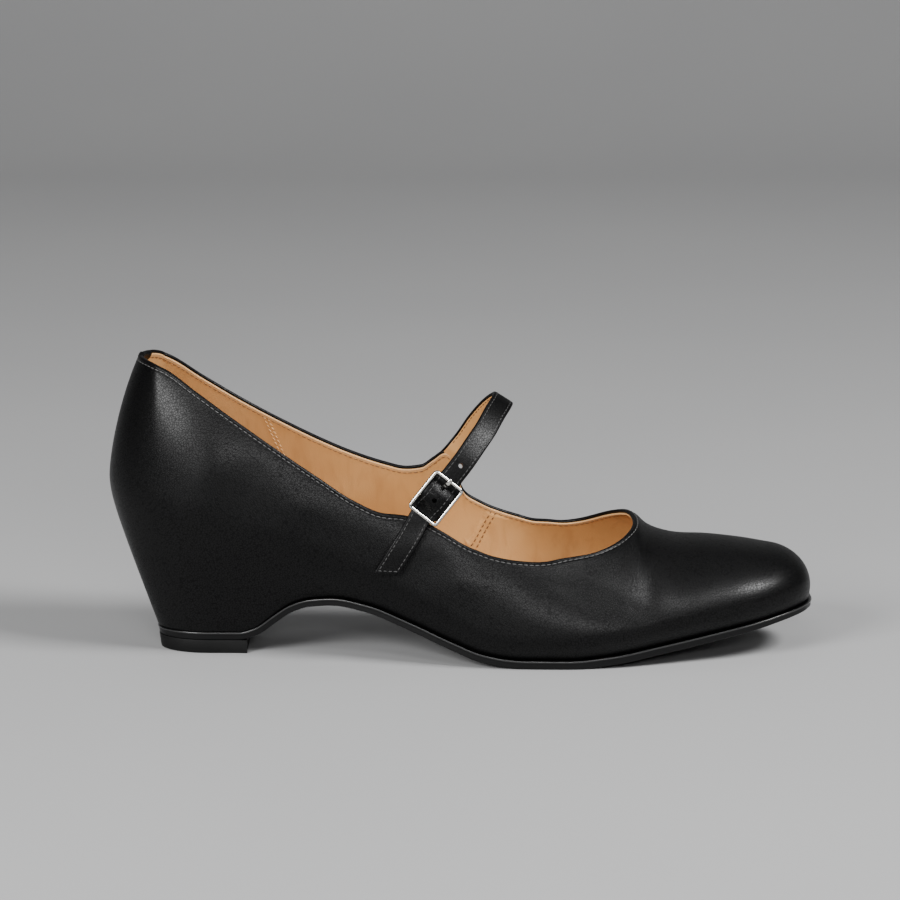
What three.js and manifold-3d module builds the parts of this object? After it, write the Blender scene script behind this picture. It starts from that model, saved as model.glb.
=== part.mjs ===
// Mary jane pump, right shoe, standing empty on its sole.
// Millimetres, Z up, floor at Z 0, toe toward +X, outer side toward -Y, inner side toward +Y.
// Every table below holds shares of the named sizes, a row for each place along the shoe.
import * as THREE from "three";
import { mergeVertices } from "three/addons/utils/BufferGeometryUtils.js";
import Module from "manifold-3d";

// Driving sizes
const LENGTH = 246; // back of the heel to the tip of the toe, in plan
const HALF = 40; // half the width over the ball
const BACK = 104; // height of the collar at the back
const ARCH = 22; // height of the upper's lower edge at the top of the arch
const TOE_SPRING = 17.6; // height of the upper's lower edge at the tip of the toe
const WALL = 1.8; // upper leather with its lining
const SOLE_THICK = 3; // thickness of the sole under the ball
const GAP = 0.3; // space between pieces that meet on a curve
const INSET = 0.6; // space at the side, measured level, between the leaning wall and what it holds

// Rounding of the plan at both ends, and of the profile over the back and the toe cap
const HEEL_ROUND = 42;
const TOE_ROUND = 30;
const TOE_SQUARE = 2.6;
const HEEL_CURVE = 18;
const HEEL_LEAN = 1.2;
const HEEL_BLUNT = 1.45;
const TOE_CURVE = 14;

// Throat, the front end of the opening, in plan. The sides are shares of HALF.
const THROAT_ROUND = 31;
const THROAT_MIDDLE = -0.04;
const THROAT_OUTER = 0.695;
const THROAT_INNER = 0.71;
const THROAT_FROM = 0.62; // from here to THROAT_TO the collar passes from TOPLINE to this outline
const THROAT_TO = 0.67;

// Sole and heel
const HEEL_BACK = 16.3; // the heel's foot starts this far forward of its widest point
const HEEL_FOOT_ROUND = 18;
const TOE_UNDER = 0.6; // the sole's line stays this far inside the toe
const TUCK = 9.5; // how softly the wall turns under, below its widest line
const OVERHANG = 1; // the sole's edge stands out past the upper by this much, but not at the heel
const HEEL_DRAW = 0.13; // at the heel it draws in by this much for each mm further down
const TOP_PIECE = 4.6; // thickness of the heel's top piece
const TOP_PIECE_FRONT = 0.196 * LENGTH;
const INSOLE = 1.8;
const HEEL_FRONT = 0.561 * LENGTH; // the wedge thins out and ends here, behind the ball

// Strap and buckle
const STRAP_WIDTH = 7.8;
const STRAP = 1.6; // thickness
const STRAP_CORNER = 0.35;
const END_SLANT = 0.62; // the free end is cut level with the ground, not square
const HOLE_PITCH = 7.3;
const HOLE_FIRST = 0.7; // the lowest hole is this far below the centre bar
const HOLE = 1.7;
const BAR = 0.75; // half the thickness of a frame bar
const PIN = 0.6; // half the thickness of the centre bar
const PIN_ROOM = 0.15; // between the centre bar and what turns on it
const SIDE_ROOM = 0.7; // between the strap's edge and the bar beside it
const BUCKLE_LONG = 16.6; // along the strap, over the bars
const BUCKLE_WIDE = STRAP_WIDTH + 2 * SIDE_ROOM + 4 * BAR;
const CORNER = 0.95; // radius of the frame's corners, to the middle of its wire
const STRAP_SWELL = 0.6; // inside the buckle the strap spreads by this much on either side
const STRAP_RISE = 1.3; // the strap lifts this far to pass over the centre bar
const RISE_REACH = 6; // and starts to lift this far before it
const TAB = 0.7; // thickness of the tab that holds the buckle
const TAB_WIDTH = STRAP_WIDTH - 2 * SIDE_ROOM;
const PRONG_WIDE = 1.3;
const PRONG_THICK = 0.9;
const WORN_HOLE = Math.hypot(PRONG_WIDE, PRONG_THICK) + 1.3; // the one the prong goes through

// Shape of the last. at: along the length. ridge: sideways place of the highest line, toward the inner
// side. outer, inner: half widths at the widest line. bulge: height of the widest line. rise: height of
// the closed form above it. full: 2 is a round section, less is a more sloping one.
const LAST = [
  { at: 0.0, ridge: 0.0, outer: 0.74, inner: 0.715, bulge: 0.592, rise: 0.572, full: 1.75 },
  { at: 0.12, ridge: 0.0, outer: 0.75, inner: 0.725, bulge: 0.56, rise: 0.517, full: 1.75 },
  { at: 0.24, ridge: 0.012, outer: 0.76, inner: 0.72, bulge: 0.48, rise: 0.498, full: 1.8 },
  { at: 0.33, ridge: 0.025, outer: 0.77, inner: 0.695, bulge: 0.394, rise: 0.471, full: 1.8 },
  { at: 0.41, ridge: 0.05, outer: 0.815, inner: 0.695, bulge: 0.31, rise: 0.462, full: 1.8 },
  { at: 0.48, ridge: 0.083, outer: 0.89, inner: 0.74, bulge: 0.212, rise: 0.555, full: 1.7 },
  { at: 0.55, ridge: 0.115, outer: 0.96, inner: 0.81, bulge: 0.133, rise: 0.535, full: 1.6 },
  { at: 0.61, ridge: 0.138, outer: 1.0, inner: 0.88, bulge: 0.117, rise: 0.45, full: 1.55 },
  { at: 0.67, ridge: 0.15, outer: 1.01, inner: 0.92, bulge: 0.123, rise: 0.38, full: 1.45 },
  { at: 0.72, ridge: 0.15, outer: 0.99, inner: 0.92, bulge: 0.135, rise: 0.327, full: 1.4 },
  { at: 0.75, ridge: 0.143, outer: 0.96, inner: 0.9, bulge: 0.144, rise: 0.295, full: 1.38 },
  { at: 0.765, ridge: 0.139, outer: 0.942, inner: 0.887, bulge: 0.149, rise: 0.258, full: 1.46 },
  { at: 0.78, ridge: 0.135, outer: 0.92, inner: 0.873, bulge: 0.154, rise: 0.235, full: 1.58 },
  { at: 0.81, ridge: 0.125, outer: 0.872, inner: 0.838, bulge: 0.163, rise: 0.21, full: 1.68 },
  { at: 0.85, ridge: 0.103, outer: 0.802, inner: 0.78, bulge: 0.177, rise: 0.194, full: 1.8 },
  { at: 0.9, ridge: 0.075, outer: 0.71, inner: 0.705, bulge: 0.192, rise: 0.168, full: 2.0 },
  { at: 0.95, ridge: 0.055, outer: 0.615, inner: 0.63, bulge: 0.206, rise: 0.137, full: 2.15 },
  { at: 1.0, ridge: 0.038, outer: 0.52, inner: 0.56, bulge: 0.215, rise: 0.12, full: 2.2 },
];

// Lower edge of the upper, which is the sole's line. outer, inner: half widths from the middle line.
// heel, arch, toe: its height above the ball's, shares of the heel's own, of the arch's and of the
// toe's. thick: thickness of the sole, a share of SOLE_THICK.
const SOLE = [
  { at: 0.067, outer: 0.335, inner: 0.33, heel: 1, arch: 0, toe: 0, thick: 0.933 },
  { at: 0.12, outer: 0.345, inner: 0.34, heel: 1, arch: 0, toe: 0, thick: 0.933 },
  { at: 0.185, outer: 0.35, inner: 0.345, heel: 1, arch: 0, toe: 0, thick: 0.933 },
  { at: 0.207, outer: 0.37, inner: 0.358, heel: 0.9, arch: 0.115, toe: 0, thick: 0.9 },
  { at: 0.232, outer: 0.405, inner: 0.38, heel: 0.6, arch: 0.437, toe: 0, thick: 0.867 },
  { at: 0.257, outer: 0.44, inner: 0.4, heel: 0.3, arch: 0.748, toe: 0, thick: 0.867 },
  { at: 0.286, outer: 0.49, inner: 0.423, heel: 0.1, arch: 0.943, toe: 0, thick: 0.867 },
  { at: 0.322, outer: 0.54, inner: 0.445, heel: 0, arch: 1.016, toe: 0, thick: 0.867 },
  { at: 0.367, outer: 0.605, inner: 0.473, heel: 0, arch: 0.925, toe: 0, thick: 0.867 },
  { at: 0.43, outer: 0.69, inner: 0.53, heel: 0, arch: 0.626, toe: 0, thick: 0.9 },
  { at: 0.49, outer: 0.775, inner: 0.615, heel: 0, arch: 0.294, toe: 0, thick: 0.933 },
  { at: 0.53, outer: 0.823, inner: 0.69, heel: 0, arch: 0.101, toe: 0, thick: 0.967 },
  { at: 0.563, outer: 0.85, inner: 0.745, heel: 0, arch: 0.024, toe: 0, thick: 1 },
  { at: 0.59, outer: 0.862, inner: 0.775, heel: 0, arch: 0, toe: 0, thick: 1 },
  { at: 0.65, outer: 0.872, inner: 0.812, heel: 0, arch: 0, toe: 0, thick: 1 },
  { at: 0.714, outer: 0.843, inner: 0.81, heel: 0, arch: 0, toe: 0.098, thick: 1 },
  { at: 0.775, outer: 0.775, inner: 0.77, heel: 0, arch: 0, toe: 0.283, thick: 0.967 },
  { at: 0.845, outer: 0.675, inner: 0.7, heel: 0, arch: 0, toe: 0.503, thick: 0.933 },
  { at: 0.906, outer: 0.585, inner: 0.625, heel: 0, arch: 0, toe: 0.708, thick: 0.867 },
  { at: 0.96, outer: 0.508, inner: 0.55, heel: 0, arch: 0, toe: 0.9, thick: 0.767 },
  { at: 0.992, outer: 0.475, inner: 0.512, heel: 0, arch: 0, toe: 1, thick: 0.733 },
];
const BALL_EDGE = SOLE_THICK + GAP;
const HEEL_EDGE = TOP_PIECE + SOLE[0].thick * SOLE_THICK + 2 * GAP;

// Height of the topline on the outer and the inner side, shares of BACK. Between 0.44 and 0.52 the
// inner side rises into the root of the strap.
const TOPLINE = [
  { at: 0.046, outer: 1.004, inner: 1.004 },
  { at: 0.058, outer: 1.001, inner: 1.001 },
  { at: 0.083, outer: 0.983, inner: 0.977 },
  { at: 0.13, outer: 0.912, inner: 0.897 },
  { at: 0.18, outer: 0.83, inner: 0.82 },
  { at: 0.24, outer: 0.732, inner: 0.74 },
  { at: 0.3, outer: 0.636, inner: 0.671 },
  { at: 0.35, outer: 0.559, inner: 0.622 },
  { at: 0.39, outer: 0.519, inner: 0.59 },
  { at: 0.42, outer: 0.511, inner: 0.572 },
  { at: 0.443, outer: 0.498, inner: 0.573 },
  { at: 0.46, outer: 0.478, inner: 0.602 },
  { at: 0.478, outer: 0.455, inner: 0.635 },
  { at: 0.4885, outer: 0.44, inner: 0.619 },
  { at: 0.494, outer: 0.432, inner: 0.577 },
  { at: 0.499, outer: 0.425, inner: 0.52 },
  { at: 0.505, outer: 0.417, inner: 0.488 },
  { at: 0.512, outer: 0.409, inner: 0.471 },
  { at: 0.52, outer: 0.4015, inner: 0.4595 },
  { at: 0.545, outer: 0.3795, inner: 0.428 },
  { at: 0.58, outer: 0.364, inner: 0.398 },
  { at: 0.61, outer: 0.3575, inner: 0.3795 },
  { at: 0.64, outer: 0.36, inner: 0.378 },
  { at: 0.675, outer: 0.361, inner: 0.39 },
  { at: 0.705, outer: 0.379, inner: 0.414 },
  { at: 0.73, outer: 0.4, inner: 0.437 },
  { at: 0.746, outer: 0.43, inner: 0.43 },
];

// Top of the insole, shares of BACK. In front of the last row it lies straight on the sole.
const SEAT = [
  { at: 0.0, height: 0.488 },
  { at: 0.08, height: 0.467 },
  { at: 0.16, height: 0.448 },
  { at: 0.24, height: 0.402 },
  { at: 0.33, height: 0.32 },
  { at: 0.41, height: 0.233 },
  { at: 0.48, height: 0.152 },
  { at: 0.54, height: 0.092 },
  { at: 0.58, height: 0.062 },
  { at: 0.61, height: 0.048 },
];

// Middle line of the strap from its root on the inner side, over the foot, through the buckle to its
// free end on the outer side. side: shares of HALF, + inner. A row without side lies on the outer wall,
// and the root's row lies inside the inner wall, whose leather it carries on.
const STRAP_LINE = [
  { at: 0.491, up: 0.629, root: true },
  { at: 0.507, up: 0.678, side: 0.435 },
  { at: 0.5245, up: 0.746, side: 0.34 },
  { at: 0.545, up: 0.813, side: 0.18 },
  { at: 0.559, up: 0.847, side: 0.025 },
  { at: 0.557, up: 0.844, side: -0.11 },
  { at: 0.5475, up: 0.82, side: -0.265 },
  { at: 0.534, up: 0.775, side: -0.425 },
  { at: 0.519, up: 0.731, side: -0.54 },
  { at: 0.5034, up: 0.684, side: -0.635 },
  { at: 0.4857, up: 0.634, side: -0.7 },
  { at: 0.4645, up: 0.5725, side: -0.748 },
  { at: 0.445, up: 0.5075 },
  { at: 0.4291, up: 0.444 },
  { at: 0.4143, up: 0.39 },
  { at: 0.3961, up: 0.322 },
];
const BUCKLE_ROW = 11; // the row of STRAP_LINE that the centre bar crosses

// Interpolation that never overshoots the rows of a table
function read(rows, name, at) {
  const n = rows.length - 1;
  const slope = [];
  for (let i = 0; i < n; i++) {
    slope.push((rows[i + 1][name] - rows[i][name]) / (rows[i + 1].at - rows[i].at));
  }
  const tangent = (i) => {
    if (i === 0) return slope[0];
    if (i === n) return slope[n - 1];
    const a = slope[i - 1];
    const b = slope[i];
    if (a * b <= 0) return 0;
    const h0 = rows[i].at - rows[i - 1].at;
    const h1 = rows[i + 1].at - rows[i].at;
    return (3 * (h0 + h1)) / ((2 * h1 + h0) / a + (h1 + 2 * h0) / b);
  };
  let i = 0;
  while (i < n - 1 && at > rows[i + 1].at) i++;
  const h = rows[i + 1].at - rows[i].at;
  const t = THREE.MathUtils.clamp((at - rows[i].at) / h, 0, 1);
  const t2 = t * t;
  const t3 = t2 * t;
  return (
    rows[i][name] * (2 * t3 - 3 * t2 + 1) +
    rows[i + 1][name] * (3 * t2 - 2 * t3) +
    tangent(i) * h * (t3 - 2 * t2 + t) +
    tangent(i + 1) * h * (t3 - t2)
  );
}
const clamp01 = (v) => THREE.MathUtils.clamp(v, 0, 1);

// 0 at the end of a form and 1 past its rounding; u is the distance from the end as a share of it
const rounded = (u, n, m = n) => clamp01(1 - clamp01(1 - u) ** n) ** (1 / m);

// The last
const ridge = (x) => read(LAST, "ridge", x / LENGTH) * HALF;
const bulge = (x) => read(LAST, "bulge", x / LENGTH) * BACK;
const full = (x) => read(LAST, "full", x / LENGTH);
const ends = (x) => rounded(x / HEEL_ROUND, 2) * rounded((LENGTH - x) / TOE_ROUND, TOE_SQUARE);
function halfWidth(x, side) {
  const name = side < 0 ? "outer" : "inner";
  return (read(LAST, name, x / LENGTH) * HALF - side * ridge(x)) * ends(x);
}
function rise(x) {
  const back = rounded(x / HEEL_CURVE, HEEL_LEAN, HEEL_BLUNT);
  const toe = rounded((LENGTH - x) / TOE_CURVE, 2);
  return read(LAST, "rise", x / LENGTH) * BACK * back * toe;
}
function dome(x, y) {
  const w = Math.max(halfWidth(x, y < ridge(x) ? -1 : 1), 1e-6);
  const e = clamp01(Math.abs(y - ridge(x)) / w);
  return bulge(x) + rise(x) * (1 - e * e) ** (1 / full(x));
}
function sideAt(x, z, side) {
  const f = clamp01((z - bulge(x)) / Math.max(rise(x), 1e-6));
  return ridge(x) + side * halfWidth(x, side) * Math.sqrt(1 - f ** full(x));
}
// The lower edge of the upper
function edgeHeight(x) {
  const at = x / LENGTH;
  const heel = read(SOLE, "heel", at) * (HEEL_EDGE - BALL_EDGE);
  const arch = read(SOLE, "arch", at) * (ARCH - BALL_EDGE);
  return BALL_EDGE + heel + arch + read(SOLE, "toe", at) * (TOE_SPRING - BALL_EDGE);
}
function edgeSide(x, side) {
  const back = rounded((x - HEEL_BACK) / HEEL_FOOT_ROUND, 2);
  const toe = rounded((LENGTH - TOE_UNDER - x) / (0.93 * TOE_ROUND), TOE_SQUARE);
  const middle = ridge(x) * clamp01((x / LENGTH - 0.74) / 0.26);
  const half = read(SOLE, side < 0 ? "outer" : "inner", x / LENGTH) * HALF;
  return middle + side * (half - side * middle) * back * toe;
}

// Columns from the heel to the toe, the same on both sides, closer where the strap's root is
const TOP_START = TOPLINE[0].at * LENGTH;
const TOP_END = TOPLINE[TOPLINE.length - 1].at * LENGTH;
const FAN = 0.4065 * LENGTH; // in front of this the columns of the collar run forward to meet the toe's
function topX(x) {
  if (x < FAN) return x + TOP_START * clamp01(1 - x / (0.285 * LENGTH)) ** 2;
  const t = (x - FAN) / (LENGTH - FAN);
  const first = (LENGTH - FAN) / (TOP_END - FAN);
  const s = (t ** 3 - 2 * t * t + t) * first + 3 * t * t - 2 * t ** 3 + (t ** 3 - t * t) * 0.7;
  return FAN + (TOP_END - FAN) * s;
}
function footX(x) {
  return x + HEEL_BACK * clamp01(1 - x / (0.346 * LENGTH)) ** 2 - TOE_UNDER * (x / LENGTH) ** 6;
}
function columnUnder(x) {
  let low = 0;
  let high = LENGTH;
  for (let k = 0; k < 40; k++) {
    const mid = (low + high) / 2;
    if (topX(mid) < x) low = mid;
    else high = mid;
  }
  return (low + high) / 2;
}
function columns(count) {
  const fine = 2000;
  const x = [];
  const run = [0];
  for (let k = 0; k <= fine; k++) x.push((LENGTH * (1 - Math.cos((Math.PI * k) / fine))) / 2);
  const side = (v, s) => ridge(v) + s * halfWidth(v, s);
  for (let k = 1; k <= fine; k++) {
    const dx = x[k] - x[k - 1];
    const outer = Math.hypot(dx, side(x[k], -1) - side(x[k - 1], -1));
    const inner = Math.hypot(dx, side(x[k], 1) - side(x[k - 1], 1));
    run.push(run[k - 1] + (outer + inner) / 2);
  }
  const even = [];
  let k = 0;
  for (let i = 0; i <= count; i++) {
    const target = (run[fine] * i) / count;
    while (k < fine - 1 && run[k + 1] < target) k++;
    const t = (target - run[k]) / (run[k + 1] - run[k]);
    even.push(x[k] + (x[k + 1] - x[k]) * t);
  }
  const root = [0.443, 0.452, 0.46, 0.469, 0.478, 0.4885, 0.494, 0.499, 0.508, 0.52];
  const set = root.map((at) => columnUnder(at * LENGTH));
  const kept = even.filter((v) => set.every((s) => Math.abs(s - v) > 1.6));
  return [...kept, ...set].sort((a, b) => a - b);
}
const COLUMN = columns(42);
const N = COLUMN.length - 1;
const RING = 2 * N;

// Rings of points run from the back of the heel along the outer side to the toe, and back along the
// inner side. place(i, side) gives one point for column i.
function ring(place) {
  const out = [];
  for (let i = 0; i <= N; i++) out.push(place(i, -1));
  for (let i = N - 1; i >= 1; i--) out.push(place(i, 1));
  return out;
}
const LOW_ROWS = 5;
const HIGH_ROWS = 10;
function outerPoint(i, side, row) {
  const x = COLUMN[i];
  const y = ridge(x) + side * halfWidth(x, side);
  const z = bulge(x);
  if (row <= LOW_ROWS) {
    const fx = footX(x);
    const fy = edgeSide(fx, side);
    const depth = z - edgeHeight(fx);
    const down = depth * (1 - row / LOW_ROWS);
    const turn = (d) => Math.sqrt(d * d + TUCK * TUCK) - TUCK;
    const k = turn(down) / turn(depth);
    return new THREE.Vector3(x + (fx - x) * k, y + (fy - y) * k, z - down);
  }
  const tx = topX(x);
  const tz = read(TOPLINE, side < 0 ? "outer" : "inner", tx / LENGTH) * BACK;
  const middle = THROAT_MIDDLE * HALF;
  const half = HALF * (side < 0 ? THROAT_OUTER : THROAT_INNER) - side * middle;
  const throat = middle + side * half * rounded((TOP_END - tx) / THROAT_ROUND, 2);
  const blend = THREE.MathUtils.smoothstep(tx / LENGTH, THROAT_FROM, THROAT_TO);
  const ty = THREE.MathUtils.lerp(i === 0 ? 0 : sideAt(tx, tz, side), throat, blend);
  const s = THREE.MathUtils.smoothstep(row - LOW_ROWS, 0, HIGH_ROWS);
  const px = x + (tx - x) * s;
  const py = y + (ty - y) * s;
  const top = row === LOW_ROWS + HIGH_ROWS;
  return new THREE.Vector3(px, py, top && i === 0 ? tz : dome(px, py));
}
const ROWS = LOW_ROWS + HIGH_ROWS;
const OUTER = [];
for (let row = 0; row <= ROWS; row++) OUTER.push(ring((i, side) => outerPoint(i, side, row)));

// Normals of a grid of rings, pointing out of the shoe
function normals(grid) {
  return grid.map((points, row) =>
    points.map((p, j) => {
      const n = points.length;
      const along = new THREE.Vector3().subVectors(points[(j + 1) % n], points[(j + n - 1) % n]);
      const above = grid[Math.min(row + 1, grid.length - 1)][j];
      const below = grid[Math.max(row - 1, 0)][j];
      return along.cross(new THREE.Vector3().subVectors(above, below)).normalize();
    }),
  );
}
const NORMAL = normals(OUTER);
const INNER = OUTER.map((points, row) =>
  points.map((p, j) => {
    const q = p.clone().addScaledVector(NORMAL[row][j], -WALL);
    if (row === 0) q.z = edgeHeight(q.x);
    return q;
  }),
);

// A point on the inner face of the wall, in ring place j, at height z, moved inward by inset
function onLining(j, z, inset) {
  const find = (c) => {
    let row = 0;
    while (row < ROWS - 1 && INNER[row + 1][c].z < z) row++;
    const a = INNER[row][c];
    const b = INNER[row + 1][c];
    const t = clamp01((z - a.z) / (b.z - a.z));
    return new THREE.Vector2(a.x + (b.x - a.x) * t, a.y + (b.y - a.y) * t);
  };
  const p = find(j);
  const along = find((j + 1) % RING).sub(find((j + RING - 1) % RING)).normalize();
  return new THREE.Vector3(p.x - along.y * inset, p.y + along.x * inset, z);
}

// Solids
function meshOf(points, faces) {
  const g = new THREE.BufferGeometry();
  g.setAttribute("position", new THREE.BufferAttribute(new Float32Array(points.flatMap((p) => [...p])), 3));
  g.setIndex(faces);
  return g;
}
// Triangles across a ring that starts at the heel's middle, rung by rung
function ladder(start, count, up, faces) {
  const put = (a, b, c) => {
    if (up) faces.push(start + a, start + b, start + c);
    else faces.push(start + a, start + c, start + b);
  };
  for (let i = 1; i <= count / 2; i++) {
    const a = i - 1;
    const b = (count - a) % count;
    const j = count - i;
    if (i !== j) put(i, j, b);
    if (a !== b) put(a, i, b);
  }
}
function strip(a, b, count, faces) {
  for (let j = 0; j < count; j++) {
    const k = (j + 1) % count;
    faces.push(a + j, a + k, b + k, a + j, b + k, b + j);
  }
}
// A solid from rings stacked bottom to top, closed at both ends
function stack(rings) {
  const count = rings[0].length;
  const faces = [];
  ladder(0, count, false, faces);
  for (let r = 1; r < rings.length; r++) strip((r - 1) * count, r * count, count, faces);
  ladder((rings.length - 1) * count, count, true, faces);
  return meshOf(rings.flat(), faces);
}
// A solid from rings that close on themselves like a tube
function hoop(rings) {
  const count = rings[0].length;
  const faces = [];
  for (let r = 0; r < rings.length; r++) {
    strip(r * count, ((r + 1) % rings.length) * count, count, faces);
  }
  return meshOf(rings.flat(), faces);
}
// A bar swept through cross-sections and closed with a fan at both ends
function bar(sections) {
  const count = sections[0].length;
  const faces = [];
  for (let k = 1; k < count - 1; k++) faces.push(0, k + 1, k);
  for (let r = 1; r < sections.length; r++) strip((r - 1) * count, r * count, count, faces);
  const last = (sections.length - 1) * count;
  for (let k = 1; k < count - 1; k++) faces.push(last, last + k, last + k + 1);
  return meshOf(sections.flat(), faces);
}

const wasm = await Module();
wasm.setup();
function solid(geometry) {
  const g = geometry.clone();
  g.deleteAttribute("normal");
  g.deleteAttribute("uv");
  const m = mergeVertices(g, 1e-4);
  return new wasm.Manifold(
    new wasm.Mesh({
      numProp: 3,
      vertProperties: m.attributes.position.array,
      triVerts: new Uint32Array(m.index.array),
    }),
  );
}
function geometryOf(made) {
  const m = made.getMesh();
  const g = new THREE.BufferGeometry();
  const v = new Float32Array(m.numVert * 3);
  for (let i = 0; i < m.numVert; i++) {
    v.set(m.vertProperties.subarray(i * m.numProp, i * m.numProp + 3), i * 3);
  }
  g.setAttribute("position", new THREE.BufferAttribute(v, 3));
  g.setIndex(new THREE.BufferAttribute(new Uint32Array(m.triVerts), 1));
  return g;
}

// Upper: outer face up, over the rim, inner face down, open at the collar and underneath
const upper = hoop([...OUTER, ...[...INNER].reverse()]);

// Outsole: one strip under the heel, up the breast, along the arch and out to the toe
function overhang(x, down) {
  const heel = 1 - THREE.MathUtils.smoothstep(x, TOP_PIECE_FRONT, TOP_PIECE_FRONT + 0.1 * LENGTH);
  return THREE.MathUtils.lerp(OVERHANG, -HEEL_DRAW * down, heel);
}
// The sole's outline in plan, this far below its upper face
function planRing(down) {
  const line = ring((i, side) => {
    const x = footX(COLUMN[i]);
    const y = i === 0 ? 0 : i === N ? ridge(x) : edgeSide(x, side);
    return new THREE.Vector2(x, y);
  });
  return line.map((p, j) => {
    const along = line[(j + 1) % RING].clone().sub(line[(j + RING - 1) % RING]).normalize();
    const grow = overhang(p.x, down);
    return new THREE.Vector2(p.x + along.y * grow, p.y - along.x * grow);
  });
}
function soleRing(share) {
  return planRing(share * SOLE_THICK).map((p) => {
    const x = p.x;
    const slope = edgeHeight(x + 0.5) - edgeHeight(x - 0.5);
    const size = Math.hypot(slope, 1);
    const thick = read(SOLE, "thick", x / LENGTH) * SOLE_THICK * share;
    const z = edgeHeight(x) - GAP;
    return new THREE.Vector3(p.x + (slope / size) * thick, p.y, Math.max(z - thick / size, 0));
  });
}
const outsole = stack([soleRing(1), soleRing(0)]);

// Top piece: the heel's own small sole
const TOP_COLUMNS = COLUMN.findIndex((x) => footX(x) > TOP_PIECE_FRONT - 0.01 * LENGTH);
function topPieceRing(z) {
  const out = [];
  const down = HEEL_EDGE - GAP - z;
  const plan = planRing(down);
  for (let i = 0; i < TOP_COLUMNS; i++) out.push(plan[i]);
  const wide = (side) => edgeSide(TOP_PIECE_FRONT, side) + side * overhang(TOP_PIECE_FRONT, down);
  const front = (side) => new THREE.Vector2(TOP_PIECE_FRONT, wide(side));
  out.push(front(-1), front(1));
  for (let i = TOP_COLUMNS - 1; i >= 1; i--) out.push(plan[RING - i]);
  return out.map((p) => new THREE.Vector3(p.x, p.y, z));
}
const topPiece = stack([topPieceRing(0), topPieceRing(TOP_PIECE)]);

// Insole: follows the seat, then lies on the sole from the ball forward
function insoleFoot(x) {
  const seat = x / LENGTH < SEAT[SEAT.length - 1].at ? read(SEAT, "height", x / LENGTH) * BACK : 0;
  return Math.max(seat - INSOLE, edgeHeight(x));
}
function liningRing(place) {
  return ring((i, side) => {
    const j = side < 0 || i === 0 || i === N ? i : RING - i;
    return place(j, COLUMN[i]);
  });
}
const insoleLine = liningRing((j, x) => {
  let p = onLining(j, insoleFoot(x), INSET);
  for (let k = 0; k < 4; k++) p = onLining(j, insoleFoot(p.x), INSET);
  return p;
});
const insole = stack([
  insoleLine,
  insoleLine.map((p) => new THREE.Vector3(p.x, p.y, p.z + INSOLE)),
]);

// Heel: the solid wedge inside the covering leather, between the insole and the outsole
const HEEL_COLUMNS = COLUMN.findIndex((x) => x > HEEL_FRONT);
function heelRing(share) {
  const place = (j) => {
    const x0 = COLUMN[j <= N ? j : RING - j];
    let p = onLining(j, insoleFoot(x0), INSET);
    for (let k = 0; k < 8; k++) {
      const foot = edgeHeight(p.x) + 0.1;
      const top = insoleFoot(p.x) - GAP;
      p = onLining(j, foot + (top - foot) * share, INSET);
    }
    return p;
  };
  const out = [];
  for (let i = 0; i < HEEL_COLUMNS; i++) out.push(place(i));
  for (let i = HEEL_COLUMNS - 1; i >= 1; i--) out.push(place(RING - i));
  return out;
}
const heel = stack([heelRing(0), heelRing(0.3), heelRing(0.65), heelRing(1)]);

// Strap
const LEAN = new THREE.Vector3(0.84, 0, -0.54); // the way its width runs, seen from the side
function wallNormal(x, z) {
  const at = (a, b) => new THREE.Vector3(a, sideAt(a, b, -1), b);
  const along = at(x + 0.5, z).sub(at(x - 0.5, z));
  const up = at(x, z + 0.5).sub(at(x, z - 0.5));
  return along.cross(up).normalize();
}
const strapPoints = STRAP_LINE.map((r) => {
  const x = r.at * LENGTH;
  const z = r.up * BACK;
  if (r.side !== undefined) return new THREE.Vector3(x, r.side * HALF, z);
  if (r.root) return new THREE.Vector3(x, sideAt(x, z, 1) - WALL * 0.6, z);
  const p = new THREE.Vector3(x, sideAt(x, z, -1), z);
  return p.addScaledVector(wallNormal(x, z), GAP + 0.3 + STRAP / 2);
});
const strapCurve = new THREE.CatmullRomCurve3(strapPoints, false, "centripetal");
strapCurve.arcLengthDivisions = 800;
const STRAP_LENGTH = strapCurve.getLength();
function shareOfRow(row) {
  const lengths = strapCurve.getLengths();
  const k = (row / (strapPoints.length - 1)) * (lengths.length - 1);
  return lengths[Math.round(k)] / STRAP_LENGTH;
}
const AT_BUCKLE = shareOfRow(BUCKLE_ROW);
const ON_WALL = shareOfRow(BUCKLE_ROW + 1);
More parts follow.
